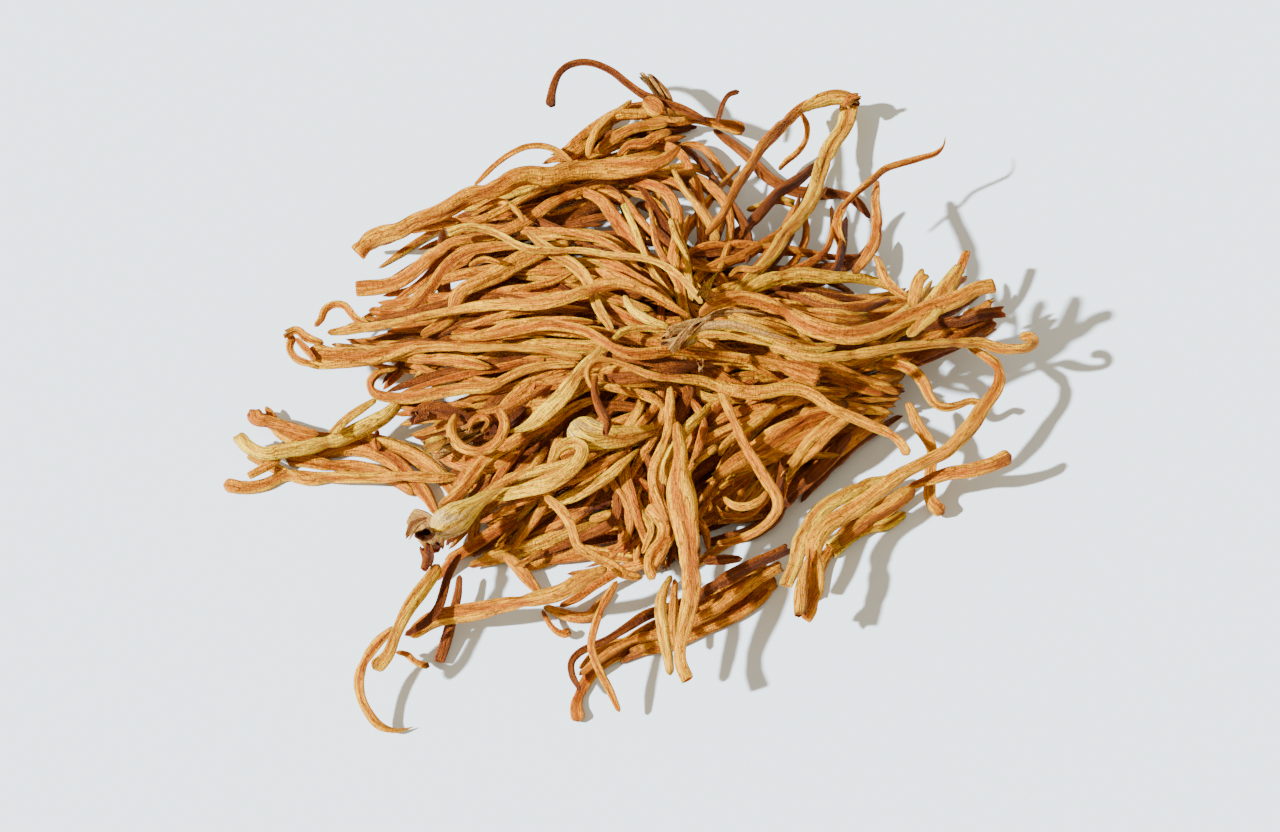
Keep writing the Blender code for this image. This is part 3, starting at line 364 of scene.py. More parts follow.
# Strands on the table, under and beside the others.
LOW_EXTRAS = (
    Small("left_band", "golden", (3.4, 3.6, 3.2), ((-63, 1), (-58, -3.4), (-51.4, -5), (-43.8, -5.6),
        (-37.9, -7.6), (-32.8, -12), (-29.5, -17)), (1.5, 0), ("frayed", "plain")),
    Small("left_low_inner", "amber", (2.4,), ((-58.5, -8.7), (-52.7, -9.4), (-46, -10.5), (-41, -12.6),
        (-37, -15.7)), (0,), ("club", "plain")),
    Small("left_low_twist", "golden", (1.9,), ((-64.5, -7.6), (-61.3, -9.8), (-57.6, -12), (-54.2, -13.2),
        (-51, -12.4), (-48, -11)), (0,), ("open", "plain")),
    Small("front_bundle_left", "golden", (2.4,), ((-8.7, -49.2), (-6.3, -46.1), (-1.6, -43.3), (4, -40),
        (9.6, -36.5), (15.2, -33.1), (20.9, -29.5)), (0,), ("frayed", "plain")),
    Small("front_bundle_low", "amber", (2.6,), ((-3.2, -46.6), (3.2, -43.8), (9.5, -40.6), (15.9, -36.6),
        (21.6, -32)), (0,), ("frayed", "frayed")),
    Small("front_bundle_inner", "amber", (3,), ((2.4, -41), (9.5, -37.6), (16.8, -33.2), (22, -29.5)),
        (1.5,)),
    Small("right_loop_low", "golden", (2.2,), ((27.5, -35.9), (29.3, -28.3), (33.3, -22.6), (39.2, -17.7),
        (45.1, -13.8)), (1,), ("frayed", "plain")),
    Small("right_loop_wide", "golden", (3,), ((32, -25.5), (36.5, -21.4), (40.7, -18), (45, -14.5)), (2,)),
    Small("slope_broad", "golden", (2.6, 3.6, 3.2), ((11.6, -11.4), (15.5, -8.9), (19, -6.6), (27.4, -1.4),
        (35, 2.4)), (0,), ("point", "plain")),
    Small("slope_upper", "golden", (2.2, 2.8), ((7.5, -7.6), (13.4, -3.5), (21.5, 1.3), (27.3, 4.2),
        (35, 5.5)), (0,)),
    Small("slope_lower", "amber", (2.4, 3.2, 2.8), ((10.5, -13.5), (16.9, -10.2), (24.5, -6.1),
        (32.8, -0.5)), (0,), ("point", "plain")),
    Small("slope_edge", "amber", (2.4, 3.4, 3.2, 2.6), ((11.5, -21.4), (19, -19.5), (23.6, -15.8),
        (29.1, -10.6), (34.9, -4.1), (41.2, 1.7)), (0,), ("point", "plain")),
    Small("slope_torn", "golden", (1.8, 2.6, 2.4), ((24.1, -10.6), (27.3, -6.5), (32.7, -1.7), (38, 0.8)),
        (0,), ("frayed", "plain")),
    Small("right_dark_broad", "amber", (3, 4, 4.2), ((42.7, 11.1), (47.4, 14.1), (52.3, 17), (57.1, 20.4),
        (60.6, 23.2)), (8, 9), ("plain", "frayed")),
    Small("right_dark_low", "rust_brown", (2.4, 3, 2.8), ((44.7, 9.9), (49.9, 13.2), (55.2, 16.2),
        (60.4, 19.2)), (5, 7), ("plain", "frayed")),
    Small("thin_root", "golden", (1.6, 1.9, 1.7), ((37.2, 46.9), (35.5, 44.7), (34.1, 40), (35, 35.1),
        (34.2, 31.2)), (8, 6, 4)),
    Small("low_left_outer", "amber", (2, 2.4, 2.2), ((-32.8, -32.1), (-31.2, -29.5), (-27.8, -26.1),
        (-22.7, -22.2), (-17.9, -19.1)), (0, 2, 4)),
    Small("low_left_middle", "golden", (2.2, 2.8, 2.4), ((-27.4, -29.9), (-22.6, -27.6), (-17, -25.5),
        (-11.4, -22.6), (-6, -20)), (1, 3)),
    Small("low_left_inner", "amber", (1.8, 2.2), ((-19.3, -30.2), (-15.3, -28.3), (-10.5, -26.8),
        (-4.8, -27.6)), (0, 2)),
    # The next two dark rust strands are put as painted shade in and beside the ring.
    Small("ring_shade", "rust_brown", (3, 4.6, 4), ((-31.6, -1.6), (-27.6, -3), (-23.2, -1.6), (-19, 1.5)),
        (10,), ("frayed", "plain")),
    Small("ring_shade_bit", "rust_brown", (2.2, 3.4, 2.8, 2), ((-38.4, -0.8), (-35.4, 0.8), (-31.5, 0.4),
        (-28, -1)), (12,), ("frayed", "plain")),
    Small("ring_sheath", "amber", (2.6, 4.2, 4.4, 3.4), ((-36.2, -3.2), (-33.6, -6.4), (-28.6, -9.2),
        (-23, -8.4), (-18.5, -4.6)), (4, 5), ("frayed", "plain")),
    Small("tail_middle", "amber", (1.7,), ((-12.9, -37), (-10.3, -35.5), (-7.7, -33.4), (-5.1, -31.8),
        (-3.2, -30.8)), (2, 3)),
    Small("left_drip", "amber", (1.4,), ((-43.5, -2.8), (-43.9, -4.8), (-43.4, -7)), (0,),
        ("plain", "club")),
)

# Strands lying over the others.
TOP_EXTRAS = (
    Small("left_claw_outer", "golden", (1.5,), ((-53.6, 15), (-56.8, 16.4), (-58.4, 17.8), (-60.6, 16.8)),
        (11, 9), ("plain", "frayed")),
    Small("left_claw_low", "golden", (1.5,), ((-58.8, 16.7), (-59.2, 14), (-57.8, 11.6), (-55.7, 10.6),
        (-54, 10)), (4,), ("club", "plain")),
    Small("left_claw_inner", "amber", (1.5,), ((-58.4, 16.1), (-56.2, 13.3), (-54.8, 11.2)), (4,)),
    Small("inner_second_bow", "golden", (1.4,), ((13.6, -16.1), (15.5, -17.7), (17.7, -17.7), (19.3, -16.8),
        (20.7, -14.8))),
    Small("loop_second_limb", "golden", (2.6, 2.9, 2.2), ((27.5, -26), (26.5, -31), (25.8, -35),
        (25.5, -39)), (4, 2), ("point", "frayed")),
    Small("right_dark_second", "amber", (1.3,), ((60.6, 24.6), (57.9, 22.5), (55, 21.4)), (9,),
        ("frayed", "plain")),
    Small("right_dark_thread", "amber", (0.9,), ((59.8, 18.9), (59.3, 17.9), (57.5, 17.2), (53, 17.2)),
        (9,)),
    Small("crown_scale", "rust_brown", (3.2, 2.6, 1.6), ((10.8, 25.2), (11.6, 27.8), (13.6, 31)), (0,),
        ("frayed", "point")),
    Small("crown_pink_strand", "pale_straw", (1.6,), ((-2.6, 25.4), (-1.2, 22.5), (1.1, 20.3), (5, 18.5))),
    Small("bead", "pale_straw", (2, 2.4, 2), ((-1.4, -13.2), (-2.1, -14.1), (-2.9, -15)), (0,),
        ("round", "round")),
    Small("white_stub", "papery_base", (2,), ((-5.1, -15.3), (-5.8, -16.4), (-6.6, -17.6)), (0,),
        ("open", "open")),
    Small("horn", "golden", (2.6, 2, 1), ((-2.2, -17.2), (-5, -19.4), (-8.3, -20.6)), (0,),
        ("plain", "club")),
    Small("ring", "golden", (1.8, 2.2, 1.9), ((-30.6, 0.6), (-31.4, -2.6), (-29.6, -6.2), (-26.2, -7.2),
        (-23.4, -5.2), (-22.6, -1.8), (-23.9, 1.6)), (0,)),
    Small("ring_core", "amber", (1.3, 1.8, 1.5), ((-28.6, -3.2), (-27.8, -1), (-26, -0.2), (-25.2, -1.6),
        (-26.4, -2.9)), (0,), ("frayed", "frayed")),
    Small("ring_knob", "pale_straw", (2.8, 3.4, 2.6), ((-32, -4.5), (-34, -5.6), (-36.4, -6.6)), (0,),
        ("plain", "frayed")),
    Small("ragged_base", "amber", (3, 3.8, 3.4), ((-20.5, -18.9), (-22.5, -21), (-24.6, -23)), (0,),
        ("plain", "frayed")),
    Small("base_body", "pale_straw", (4.2, 4.4, 3.6, 2.6), ((-33.8, -22.6), (-30, -20.2), (-26.4, -17.4),
        (-22, -14.4)), (0,), ("round", "point")),
    Small("base_flap", "papery_base", (1.4, 2, 1.2), ((-34.6, -20.4), (-36.8, -21.8), (-38.2, -24.4)), (6,),
        ("plain", "frayed")),
    Small("base_dark_bit", "rust_brown", (2.4, 1.6), ((-34.9, -25.6), (-34.4, -28), (-34.8, -30.2)), (1,),
        ("frayed", "frayed")),
    Small("crown_white_left", "papery_base", (1.5,), ((7.2, 11.9), (7.4, 10.4), (7.9, 9.2)), (0,),
        ("open", "frayed")),
    Small("crown_white_right", "papery_base", (1.3,), ((10.1, 11.9), (10.3, 10.4), (9.9, 9.2)), (0,),
        ("frayed", "plain")),
    Small("crown_brown_bits", "rust_brown", (1.6,), ((3.4, 10.9), (5, 10.2), (6.4, 9.6)), (0,),
        ("frayed", "frayed")),
    Small("crown_fibre_long", "papery_base", (1.2, 1.5, 1.2, 0.8), ((7.6, 14.6), (11, 18.2), (15.5, 18.8),
        (21, 17.2), (27, 15.2)), (0,), ("frayed", "point")),
    Small("crown_fibre_low", "pale_straw", (1, 1.4, 1, 0.7), ((6.8, 13.6), (9.6, 16.2), (13.5, 16.8),
        (18.5, 15.6), (24, 14)), (0,), ("frayed", "point")),
    Small("crown_fibre_high", "papery_base", (1, 1.3, 0.8), ((9, 18.2), (12.2, 20.8), (16.5, 21.6),
        (21.5, 21)), (0,), ("frayed", "point")),
    Small("crown_fibre_left", "papery_base", (1.3, 1.6, 1), ((5.2, 13.2), (7.6, 17), (10.6, 21.2)), (0,),
        ("frayed", "point")),
    Small("middle_torn", "amber", (2.2, 3.2, 4.4), ((18.5, 12.2), (23.8, 10.8), (30.4, 8.2)), (0,),
        ("point", "frayed")),
    Small("loop_top", "pale_straw", (2.2, 2.6, 3, 2.6), ((29.2, 66.8), (31.1, 68.2), (32.9, 69),
        (35.2, 69.5), (37.2, 69.1), (38.4, 67.5)), (2,), ("plain", "frayed")),
    Small("loop_knuckle", "amber", (1.8, 2.4, 1.6), ((36.6, 67.6), (38.4, 69.4), (39.8, 70)), (2,),
        ("plain", "frayed")),
    Small("top_round_knob", "golden", (2.6, 3.2, 2.8), ((0.6, 69.6), (2.4, 68.2), (4.2, 66.6)), (0,),
        ("plain", "round")),
    Small("shrivelled_dark", "rust_brown", (1, 1.2, 1.7, 1.3), ((-7.2, 8.4), (-7.7, 5.4), (-6.5, 1.6),
        (-5.1, -1.4), (-5.5, -3.8)), (0,), ("plain", "frayed")),
)

# Short torn tubes that face the camera, so that their hollows show, with painted shade inside them.
STUMPS = (
    Stump("base_hollow", "papery_base", (-34.4, -22.6), -2.4, 3.4, 4, (-0.25, -0.25, 0)),
    # A real hollow base, given the dark rust slot as painted shade for the gap around it.
    Stump("ring_left_hollow", "rust_brown", (-35.8, 0.8), 13.5, 2.2, 4.2, (-0.3, -0.1, 0)),
    Stump("crown_hollow", "papery_base", (8.9, 10.6), -0.6, 1, 1.9, (0, -0.1, 0)),
    Stump("under_hollow", "rust_brown", (-15.8, -24.4), -0.3, 1.6, 3.4, (0.2, -0.3, 0)),
    # A dark rust stump put as painted shade, for a dark hole between the strands.
    Stump("gap_shade_stump", "rust_brown", (-17, 7.2), -1, 1.8, 7, (0.2, 0.1, 0)),
    Stump("small_grey_base", "papery_base", (-3, 20.4), -0.4, 2, 2.8, (-0.3, 0.2, 0)),
)


# ---------------------------------------------------------------- lines

def along(values, count):
    """The values spread evenly over this many points."""
    return np.interp(np.linspace(0, 1, count), np.linspace(0, 1, len(values)), values)


def unit(vectors):
    return vectors / np.maximum(np.linalg.norm(vectors, axis=-1, keepdims=True), 1e-9)


def lengths(points):
    """How far along its line each point is."""
    return np.r_[0, np.cumsum(np.linalg.norm(np.diff(points, axis=0), axis=1))]


def smooth_line(points, step, extra=None):
    """Points about every step along a smooth curve through these. extra holds columns to carry along."""
    points = np.array(points, float)
    places = lengths(points)
    values = points if extra is None else np.c_[points, extra]
    slopes = np.gradient(values, places, axis=0)
    wanted = np.linspace(0, places[-1], max(round(places[-1] / step), 6) + 1)
    before = np.clip(np.searchsorted(places, wanted, side="right") - 1, 0, len(points) - 2)
    span = (places[before + 1] - places[before])[:, None]
    u = (wanted - places[before])[:, None] / span
    return (
        (1 + 2 * u) * (1 - u) ** 2 * values[before]
        + u * (1 - u) ** 2 * span * slopes[before]
        + u**2 * (3 - 2 * u) * values[before + 1]
        - u**2 * (1 - u) * span * slopes[before + 1]
    )


def blurred(values, radius):
    """The values averaged with their neighbours by a bell curve, whose radius is in points."""
    reach = int(3 * radius)
    bell = np.exp(-0.5 * (np.arange(-reach, reach + 1) / radius) ** 2)
    return np.convolve(np.pad(values, reach, mode="edge"), bell / bell.sum(), mode="valid")


def stiff_over(least, step):
    """The lowest course of a stiff strand that stays above these heights."""
    places = np.arange(len(least)) * step
    bend = STIFFNESS / 2 * (places[:, None] - places[None, :]) ** 2
    course = blurred((least[None, :] - bend).max(axis=1), SMOOTHING / step)
    for _ in range(4):
        lacking = np.maximum(least - course, 0)
        wider = np.array([lacking[max(i - 3, 0):i + 4].max() for i in range(len(lacking))])
        course = course + blurred(wider, 1.5)
    return np.maximum(course, least)


# ---------------------------------------------------------------- the CAD strands, read back

def welded(node):
    """A CAD node's corners in millimetres, each place once, and which corners share an edge."""
    mesh = node.data
    corners = np.empty(len(mesh.vertices) * 3, np.float32)
    mesh.vertices.foreach_get("co", corners)
    corners = corners.reshape(-1, 3).astype(float) / MM
    _, first, index = np.unique(np.round(corners, 3), axis=0, return_index=True, return_inverse=True)
    linked = [set() for _ in first]
    for edge in mesh.edges:
        a, b = (int(index.reshape(-1)[v]) for v in edge.vertices)
        if a != b:
            linked[a].add(b)
            linked[b].add(a)
    return corners[first], linked


def rings_from(pole, linked):
    """The corners in rings, going out from this one."""
    rings, seen = [[pole]], {pole}
    while True:
        ring = sorted({n for v in rings[-1] for n in linked[v]} - seen)
        if not ring:
            return rings
        seen.update(ring)
        rings.append(ring)


def course_of(node):
    """The centre line of a CAD strand from its end with the lower X, with its half widths, half thicknesses
    and sides."""
    corners, linked = welded(node)
    for pole in sorted(range(len(linked)), key=lambda v: len(linked[v]) != CAD_SIDES):
        rings = rings_from(pole, linked)
        if len(rings[-1]) == 1 and all(len(ring) == CAD_SIDES for ring in rings[1:-1]):
            break
    else:
        raise ValueError(f"{node.name} isn't a tube of rings")
    centres, wide, thick, side = [], [], [], []
    for ring in rings[1:-1]:
        centre = corners[ring].mean(axis=0)
        spread, directions = np.linalg.eigh((corners[ring] - centre).T @ (corners[ring] - centre))
        centres.append(centre)
        wide.append(np.sqrt(spread[2] * 2 / CAD_SIDES))
        thick.append(np.sqrt(spread[1] * 2 / CAD_SIDES))
        direction = directions[:, 2]
        side.append(direction if not side or direction @ side[-1] > 0 else -direction)
    centres[0] = corners[rings[0][0]]
    centres[-1] = corners[rings[-1][0]]
    wide = np.array(wide)
    thick = np.array(thick)
    wide[[0, -1]] /= CAD_END_SCALE
    thick[[0, -1]] /= CAD_END_SCALE
    rows = np.c_[centres, wide, thick, side]
    if rows[0, 0] > rows[-1, 0]:
        rows = rows[::-1]
    fine = smooth_line(rows[:, :3], STEP, rows[:, 3:])
    return Course(fine[:, :3], fine[:, 3], fine[:, 4], unit(fine[:, 5:8]))


# ---------------------------------------------------------------- laying

class Heap:
    """Every strand laid so far, as points with a half width and a half depth along the way it was laid."""

    def __init__(self):
        self.points = np.empty((0, 3))
        self.half_widths = np.empty(0)
        self.half_depths = np.empty(0)

    def over(self, start, way, half_width, half_depth, gap=GAP):
        """How far along its way each point clears the strands already here."""
        if not len(self.points):
            return np.zeros(len(start))
        apart = self.points[None] - start[:, None]
        reached = (apart * way[:, None]).sum(axis=2)
        aside = np.sqrt(np.maximum((apart**2).sum(axis=2) - reached**2, 0))
        wide = half_width[:, None] + self.half_widths[None] + gap
        deep = half_depth[:, None] + self.half_depths[None] + gap
        near = np.maximum(1 - (aside / wide) ** 2, 0)
        return np.where(near > 0, reached + deep * np.sqrt(near), 0).max(axis=1)

    def add(self, points, half_width, half_depth):
        self.points = np.vstack([self.points, points])
        self.half_widths = np.r_[self.half_widths, half_width]
        self.half_depths = np.r_[self.half_depths, half_depth]


def depth_along(points, way, half_thick):
    """Half a strand's thickness measured along the way it is laid, which its slope makes larger."""
    slant = np.abs((unit(np.gradient(points, axis=0)) * way).sum(axis=1))
    return half_thick * np.minimum(1 / np.sqrt(1 - np.minimum(slant, 0.9) ** 2), MOST_SLANT)


low, high = (np.array(corner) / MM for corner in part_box("inner_strands"))
HEART_CENTRE = np.array([(low[0] + high[0]) / 2, (low[1] + high[1]) / 2, low[2]])
HEART_HALF = high - HEART_CENTRE


def over_heart(start, way, margin):
    """How far along its way each point clears the heart by its margin."""
    half = HEART_HALF + margin[:, None]
    begin = (start - HEART_CENTRE) / half
    ray = way / half
    square = (ray**2).sum(axis=1)
    middle = -(begin * ray).sum(axis=1) / square
    inside = middle**2 - ((begin**2).sum(axis=1) - 1) / square
    return np.where(inside > 0, middle + np.sqrt(np.maximum(inside, 0)), 0)


def lay(start, way, half_width, half_thick, least, heap, gap=GAP):
    """Raises a line from its start points along its way until it clears least and the heap."""
    step = np.linalg.norm(np.diff(start, axis=0), axis=1).mean()
    half_depth = half_thick
    for _ in range(SLOPE_PASSES):
        bound = np.maximum(least, heap.over(start, way, half_width, half_depth, gap))
        points = start + way * stiff_over(bound, step)[:, None]
        half_depth = depth_along(points, way, half_thick)
    side = unit(np.cross(np.gradient(points, axis=0), way))
    return Course(points, half_width, half_thick, side), half_depth


def small_course(small, heap, gap=GAP):
    """The course of a small strand laid on the heap, and its ends, the one with the lower X first."""
    line = smooth_line(small.route, STEP)
    if line[0, 0] > line[-1, 0]:
        line = line[::-1]
    forward = small.route[0][0] <= small.route[-1][0]
    widths = small.widths if forward else small.widths[::-1]
    lifts = small.lifts if forward else small.lifts[::-1]
    count = len(line)
    start = np.c_[line, np.zeros(count)]
    way = unit(LAID_FROM - start)
    half_width = along(widths, count) / 2
    half_thick = half_width * FLATNESS
    side = unit(np.cross(np.gradient(start, axis=0), way))
    top = unit(np.cross(side, np.gradient(start, axis=0)))
    reach_down = np.hypot(half_width * side[:, 2], half_thick * top[:, 2])
    least = np.maximum(along(lifts, count), reach_down + FLOOR_GAP) / way[:, 2]
    least = np.maximum(least, over_heart(start, way, half_thick + gap))
    course, half_depth = lay(start, way, half_width, half_thick, least, heap, gap)
    heap.add(course.points, half_width, half_depth)
    return course, small.ends if forward else small.ends[::-1]


def stump_course(stump, heap):
    """A short course standing up from the heap toward the camera."""
    start = np.array([[*stump.place, 0.0]])
    way = unit(LAID_FROM - start)
    half_width = np.array([stump.width / 2])
    base = heap.over(start, way, half_width * 0.6, np.array([0.1]), PRESSED)[0] + stump.low
    reach = np.linspace(0, stump.tall, STUMP_POINTS)[:, None]
    points = start + way * (max(base, 1.0) + reach) + np.array(stump.lean) * reach
    side = np.repeat(unit(np.cross(way, (0.3, 0.1, 1.0))), STUMP_POINTS, axis=0)
    widths = np.linspace(0.75, 1, STUMP_POINTS) * half_width
    return Course(points, widths, widths * 0.8, side)


def fibres_of(course, count, rng):
    """The thin twisting strands that make up a torn base, in place of its one tube."""
    made = []
    heading = unit(np.gradient(course.points, axis=0))
    more = FIBRE_REACH * np.array([1.0, 0.5])[:, None]
    ahead = FIBRE_REACH * np.array([0.5, 1.0])[:, None]
    outline = np.r_[0.45, 0.75, np.full(len(heading), 0.9), 0.75, 0.45]
    before = course.points[0] - heading[0] * more
    after = course.points[-1] + heading[-1] * ahead
    course = Course(
        np.vstack([before, course.points, after]),
        outline * course.half_width.max(),
        outline * course.half_thick.max(),
        np.vstack([course.side[:1], course.side[:1], course.side, course.side[-1:], course.side[-1:]]),
    )
    places = lengths(course.points)
    heading = unit(np.gradient(course.points, axis=0))
    up = np.cross(heading, course.side)
    for index in range(count):
        turn = 2 * np.pi * index / count + 0.16 * places + rng.uniform(0, 0.5)
        out = 0.52 * np.cos(turn) * course.half_width
        high = 0.5 * np.sin(turn) * course.half_thick
        points = course.points + course.side * out[:, None] + up * high[:, None]
        begin, end = rng.integers(0, 4), len(points) - rng.integers(0, 3)
        width = course.half_width * rng.uniform(0.3, 0.5)
        rows = slice(begin, end)
        made.append(Course(points[rows], width[rows], course.half_thick[rows] * 0.55, course.side[rows]))
    return made


# ---------------------------------------------------------------- one shrivelled strand

def wandering(rng, places, period, size):
    """A smooth random value along these places, about this far apart and this large."""
    count = max(int(np.ptp(places) / period) + 3, 4)
    knots = rng.normal(0, size, count)
    at = np.linspace(places.min() - period, places.max() + period, count)
    return np.interp(places, np.linspace(at[0], at[-1], count * 8),
                     blurred(np.interp(np.linspace(0, 1, count * 8), np.linspace(0, 1, count), knots), 3.0))


def end_shape(kind, reach, half_width):
    """How wide a strand is this far from its end, as a share of its own width."""
    if kind == "point":
        return np.clip(reach / (5 * half_width + 3), 0, 1) ** 0.75
    narrowed = 0.62 + 0.38 * np.clip(reach / (4 * half_width), 0, 1) if kind == "plain" else 1.0
    rounding = {"plain": 0.9, "club": 0.9, "round": 1.25, "open": 0.25, "frayed": 0.2}[kind] * half_width
    near = np.clip(1 - reach / rounding, 0, 1)
    shape = narrowed * np.sqrt(1 - near**2 * (0.97 if kind in ("plain", "club", "round") else 0.12))
    if kind == "round":
        shape = shape * (1 + 0.35 * np.exp(-((reach / 7) ** 2)))
    if kind == "club":
        shape = shape * (1 + 0.16 * np.exp(-((reach - 1.1) / 1.3) ** 2))
    return shape


def profile(rng, places, sides, half_width, half_thick):
    """A strand's outline at each place, as (places, sides) offsets across and up, and how deep its furrows
    and pinches are, which the material paints as shade."""
    turns = np.arange(sides) * 2 * np.pi / sides
    radius = np.ones((len(places), sides))
    furrow = np.zeros((len(places), sides))
    # Deep channels along the top and the underside, and four shallower ones anywhere.
    trough_depth = np.clip(0.26 + wandering(rng, places, 12, 0.18), 0, 0.55)
    channels = [(np.pi / 2, 0.7, trough_depth), (-np.pi / 2, 0.7, trough_depth[::-1])]
    for _ in range(4):
        depth = np.clip(0.12 + wandering(rng, places, 8, 0.14), 0, 0.4)
        channels.append((rng.uniform(0, 2 * np.pi), rng.uniform(0.28, 0.45), depth))
    for middle, spread, depth in channels:
        centre = middle + wandering(rng, places, 10, 0.6)
        apart = (turns[None] - centre[:, None] + np.pi) % (2 * np.pi) - np.pi
        cut = depth[:, None] * np.exp(-(np.abs(apart / spread) ** 1.5))
        radius -= cut
        furrow += cut
    # Swellings along the strand, and a few tight pinches, which also get painted shade.
    girth = 1 + wandering(rng, places, 6, 0.09) + wandering(rng, places, 2.4, 0.045)
    for _ in range(int(places[-1] / 22)):
        pinch = np.exp(-(((places - rng.uniform(0, places[-1])) / 1.1) ** 2))
        girth -= 0.24 * pinch
        furrow += 0.16 * pinch[:, None]
    radius = np.clip(radius, 0.40, 1.0) * np.clip(girth, 0.6, 1.12)[:, None]
    # How sharp its edges are, how flat it is, and how far it has turned.
    edge = np.clip(1.25 + wandering(rng, places, 12, 0.25), 0.9, 1.8)[:, None]
    flat = np.clip(1 + wandering(rng, places, 15, 0.22), 0.6, 1.35)
    twist = wandering(rng, places, 18, 0.42)
    across = half_width[:, None] * np.cos(turns)[None] * radius
    rise = np.sign(np.sin(turns))[None] * np.abs(np.sin(turns))[None] ** edge
    up = (half_thick * flat)[:, None] * rise * radius
    turned = np.cos(twist)[:, None], np.sin(twist)[:, None]
    across, up = across * turned[0] - up * turned[1], across * turned[1] + up * turned[0]
    return across, up, np.clip(furrow * 2.2, 0, 1)


def strand_arrays(course, ends, rng, step, sides, tint=0.0, painted_shade=0.0):
    """Points, faces and surface values of one strand swept along its course, painted shade among them."""
    rows = smooth_line(course.points, step, np.c_[course.half_width, course.half_thick, course.side])
    points, half_width, half_thick = rows[:, :3], rows[:, 3], rows[:, 4]
    places = lengths(points)
    total = places[-1]
    heading = unit(np.gradient(points, axis=0))
    side = rows[:, 5:8]
    side = unit(side - heading * (side * heading).sum(axis=1)[:, None])
    up = np.cross(heading, side)
    sway = wandering(rng, places, 6, 0.20) + wandering(rng, places, 2.6, 0.07)
    points = points + side * (sway * np.clip(half_width, 0.4, 1.2))[:, None]
    across, rise, furrow = profile(rng, places, sides, half_width, half_thick)
    shape = end_shape(ends[0], places, half_width[0]) * end_shape(ends[1], total - places, half_width[-1])
    across = across * shape[:, None]
    rise = rise * shape[:, None]
    # Torn ends have teeth.
    ragged = np.zeros_like(across)
    for index, kind in ((0, ends[0]), (-1, ends[1])):
        if kind == "frayed":
            teeth = wandering(rng, np.arange(sides * 1.0), 2.5, 0.9)
            reach = places if index == 0 else total - places
            fade = np.clip(1 - reach / 3.0, 0, 1)
            ragged += (1 if index == 0 else -1) * np.outer(fade, np.clip(teeth + 0.5, 0, 1.9))
    body = (points[:, None] + side[:, None] * across[..., None] + up[:, None] * rise[..., None]
            + heading[:, None] * ragged[..., None])
    # Ends are brown, but for a round one, which is pale.
    brown_and_shade = sum(
        0.75 * np.exp(-reach / 1.4) * (kind not in ("round", "open"))
        for reach, kind in ((places, ends[0]), (total - places, ends[1]))
    )
    pale = 0.65 * np.exp(-((places / 7) ** 2)) * (ends[0] == "round")
    # Deep strands get painted shade added to their brown here, and every strand gets a random browning.
    brown_and_shade = np.clip(brown_and_shade * rng.uniform(0.5, 1.1) + painted_shade + wandering(rng, places, 11, 0.16), 0, 1)
    turns = np.arange(sides) * 2 * np.pi / sides
    # The grain follows the strand, and starts somewhere else on each.
    shift = rng.uniform(0, 400, 3)
    grain = np.stack([
        np.repeat(places[:, None], sides, axis=1) + shift[0],
        half_width.mean() * np.cos(turns)[None].repeat(len(places), axis=0) + shift[1],
        half_width.mean() * np.sin(turns)[None].repeat(len(places), axis=0) + shift[2],
    ], axis=2)
    brown_and_shade = np.repeat(brown_and_shade[:, None], sides, axis=1)
    rings = [(body[k], grain[k], furrow[k], brown_and_shade[k]) for k in range(len(places))]
    extra = len(HOLLOW) if ends[0] in ("open", "frayed") else 0
    pale = np.r_[np.zeros(extra), pale]
    for index, kind in ((0, ends[0]), (-1, ends[1])):
        rings = with_end(rings, index, kind, heading[index] * (1 if index == 0 else -1))
    first, last = ring_middle(rings[0]), ring_middle(rings[-1])
    stacked = [np.concatenate([ring[k] for ring in rings]) for k in range(4)]
    vertices, grains, furrows, browns_and_shades = (
        np.concatenate([part, first[k][None], last[k][None]]) for k, part in enumerate(stacked)
    )
    tints = np.full(len(browns_and_shades), 0.5 + tint)
    tints[:len(pale) * sides] += np.repeat(pale, sides)
    marks_and_shade = np.stack([furrows, browns_and_shades, tints, np.ones(len(browns_and_shades))], axis=1)
    return vertices, tube_faces(len(rings), sides), grains, marks_and_shade


def with_end(rings, index, kind, inward):
    """The rings with a hollow added inside an open or torn end."""
    if kind not in ("open", "frayed"):
        return rings
    rim = rings[index]
    middle = rim[0].mean(axis=0)
    hollow = []
    for share, sink in HOLLOW:
        place = middle + (rim[0] - middle) * share + inward * sink
        # Each deeper ring of the hollow is painted darker, as painted shade inside the end.
        hollow.append((place, rim[1], np.full(len(rim[2]), 0.9), np.clip(rim[3] + 0.3 + sink * 0.5, 0, 1)))
    return hollow[::-1] + rings if index == 0 else rings + hollow


def ring_middle(ring):
    """The point that closes a ring, as every value of the ring averaged."""
    return tuple(part.mean(axis=0) for part in ring)


def tube_faces(count, sides):
    """Quads between rings, and a fan of triangles at each end."""
    ring = np.arange(sides)
    ahead = (ring + 1) % sides
    base = (np.arange(count - 1) * sides)[:, None]
    quads = np.stack([base + ring, base + ahead, base + sides + ahead, base + sides + ring], axis=2)
    faces = quads.reshape(-1, 4).tolist()
    first, last, top = count * sides, count * sides + 1, (count - 1) * sides
    faces += [[int(b), int(a), first] for a, b in zip(ring, ahead)]
    faces += [[int(top + a), int(top + b), last] for a, b in zip(ring, ahead)]
    return faces


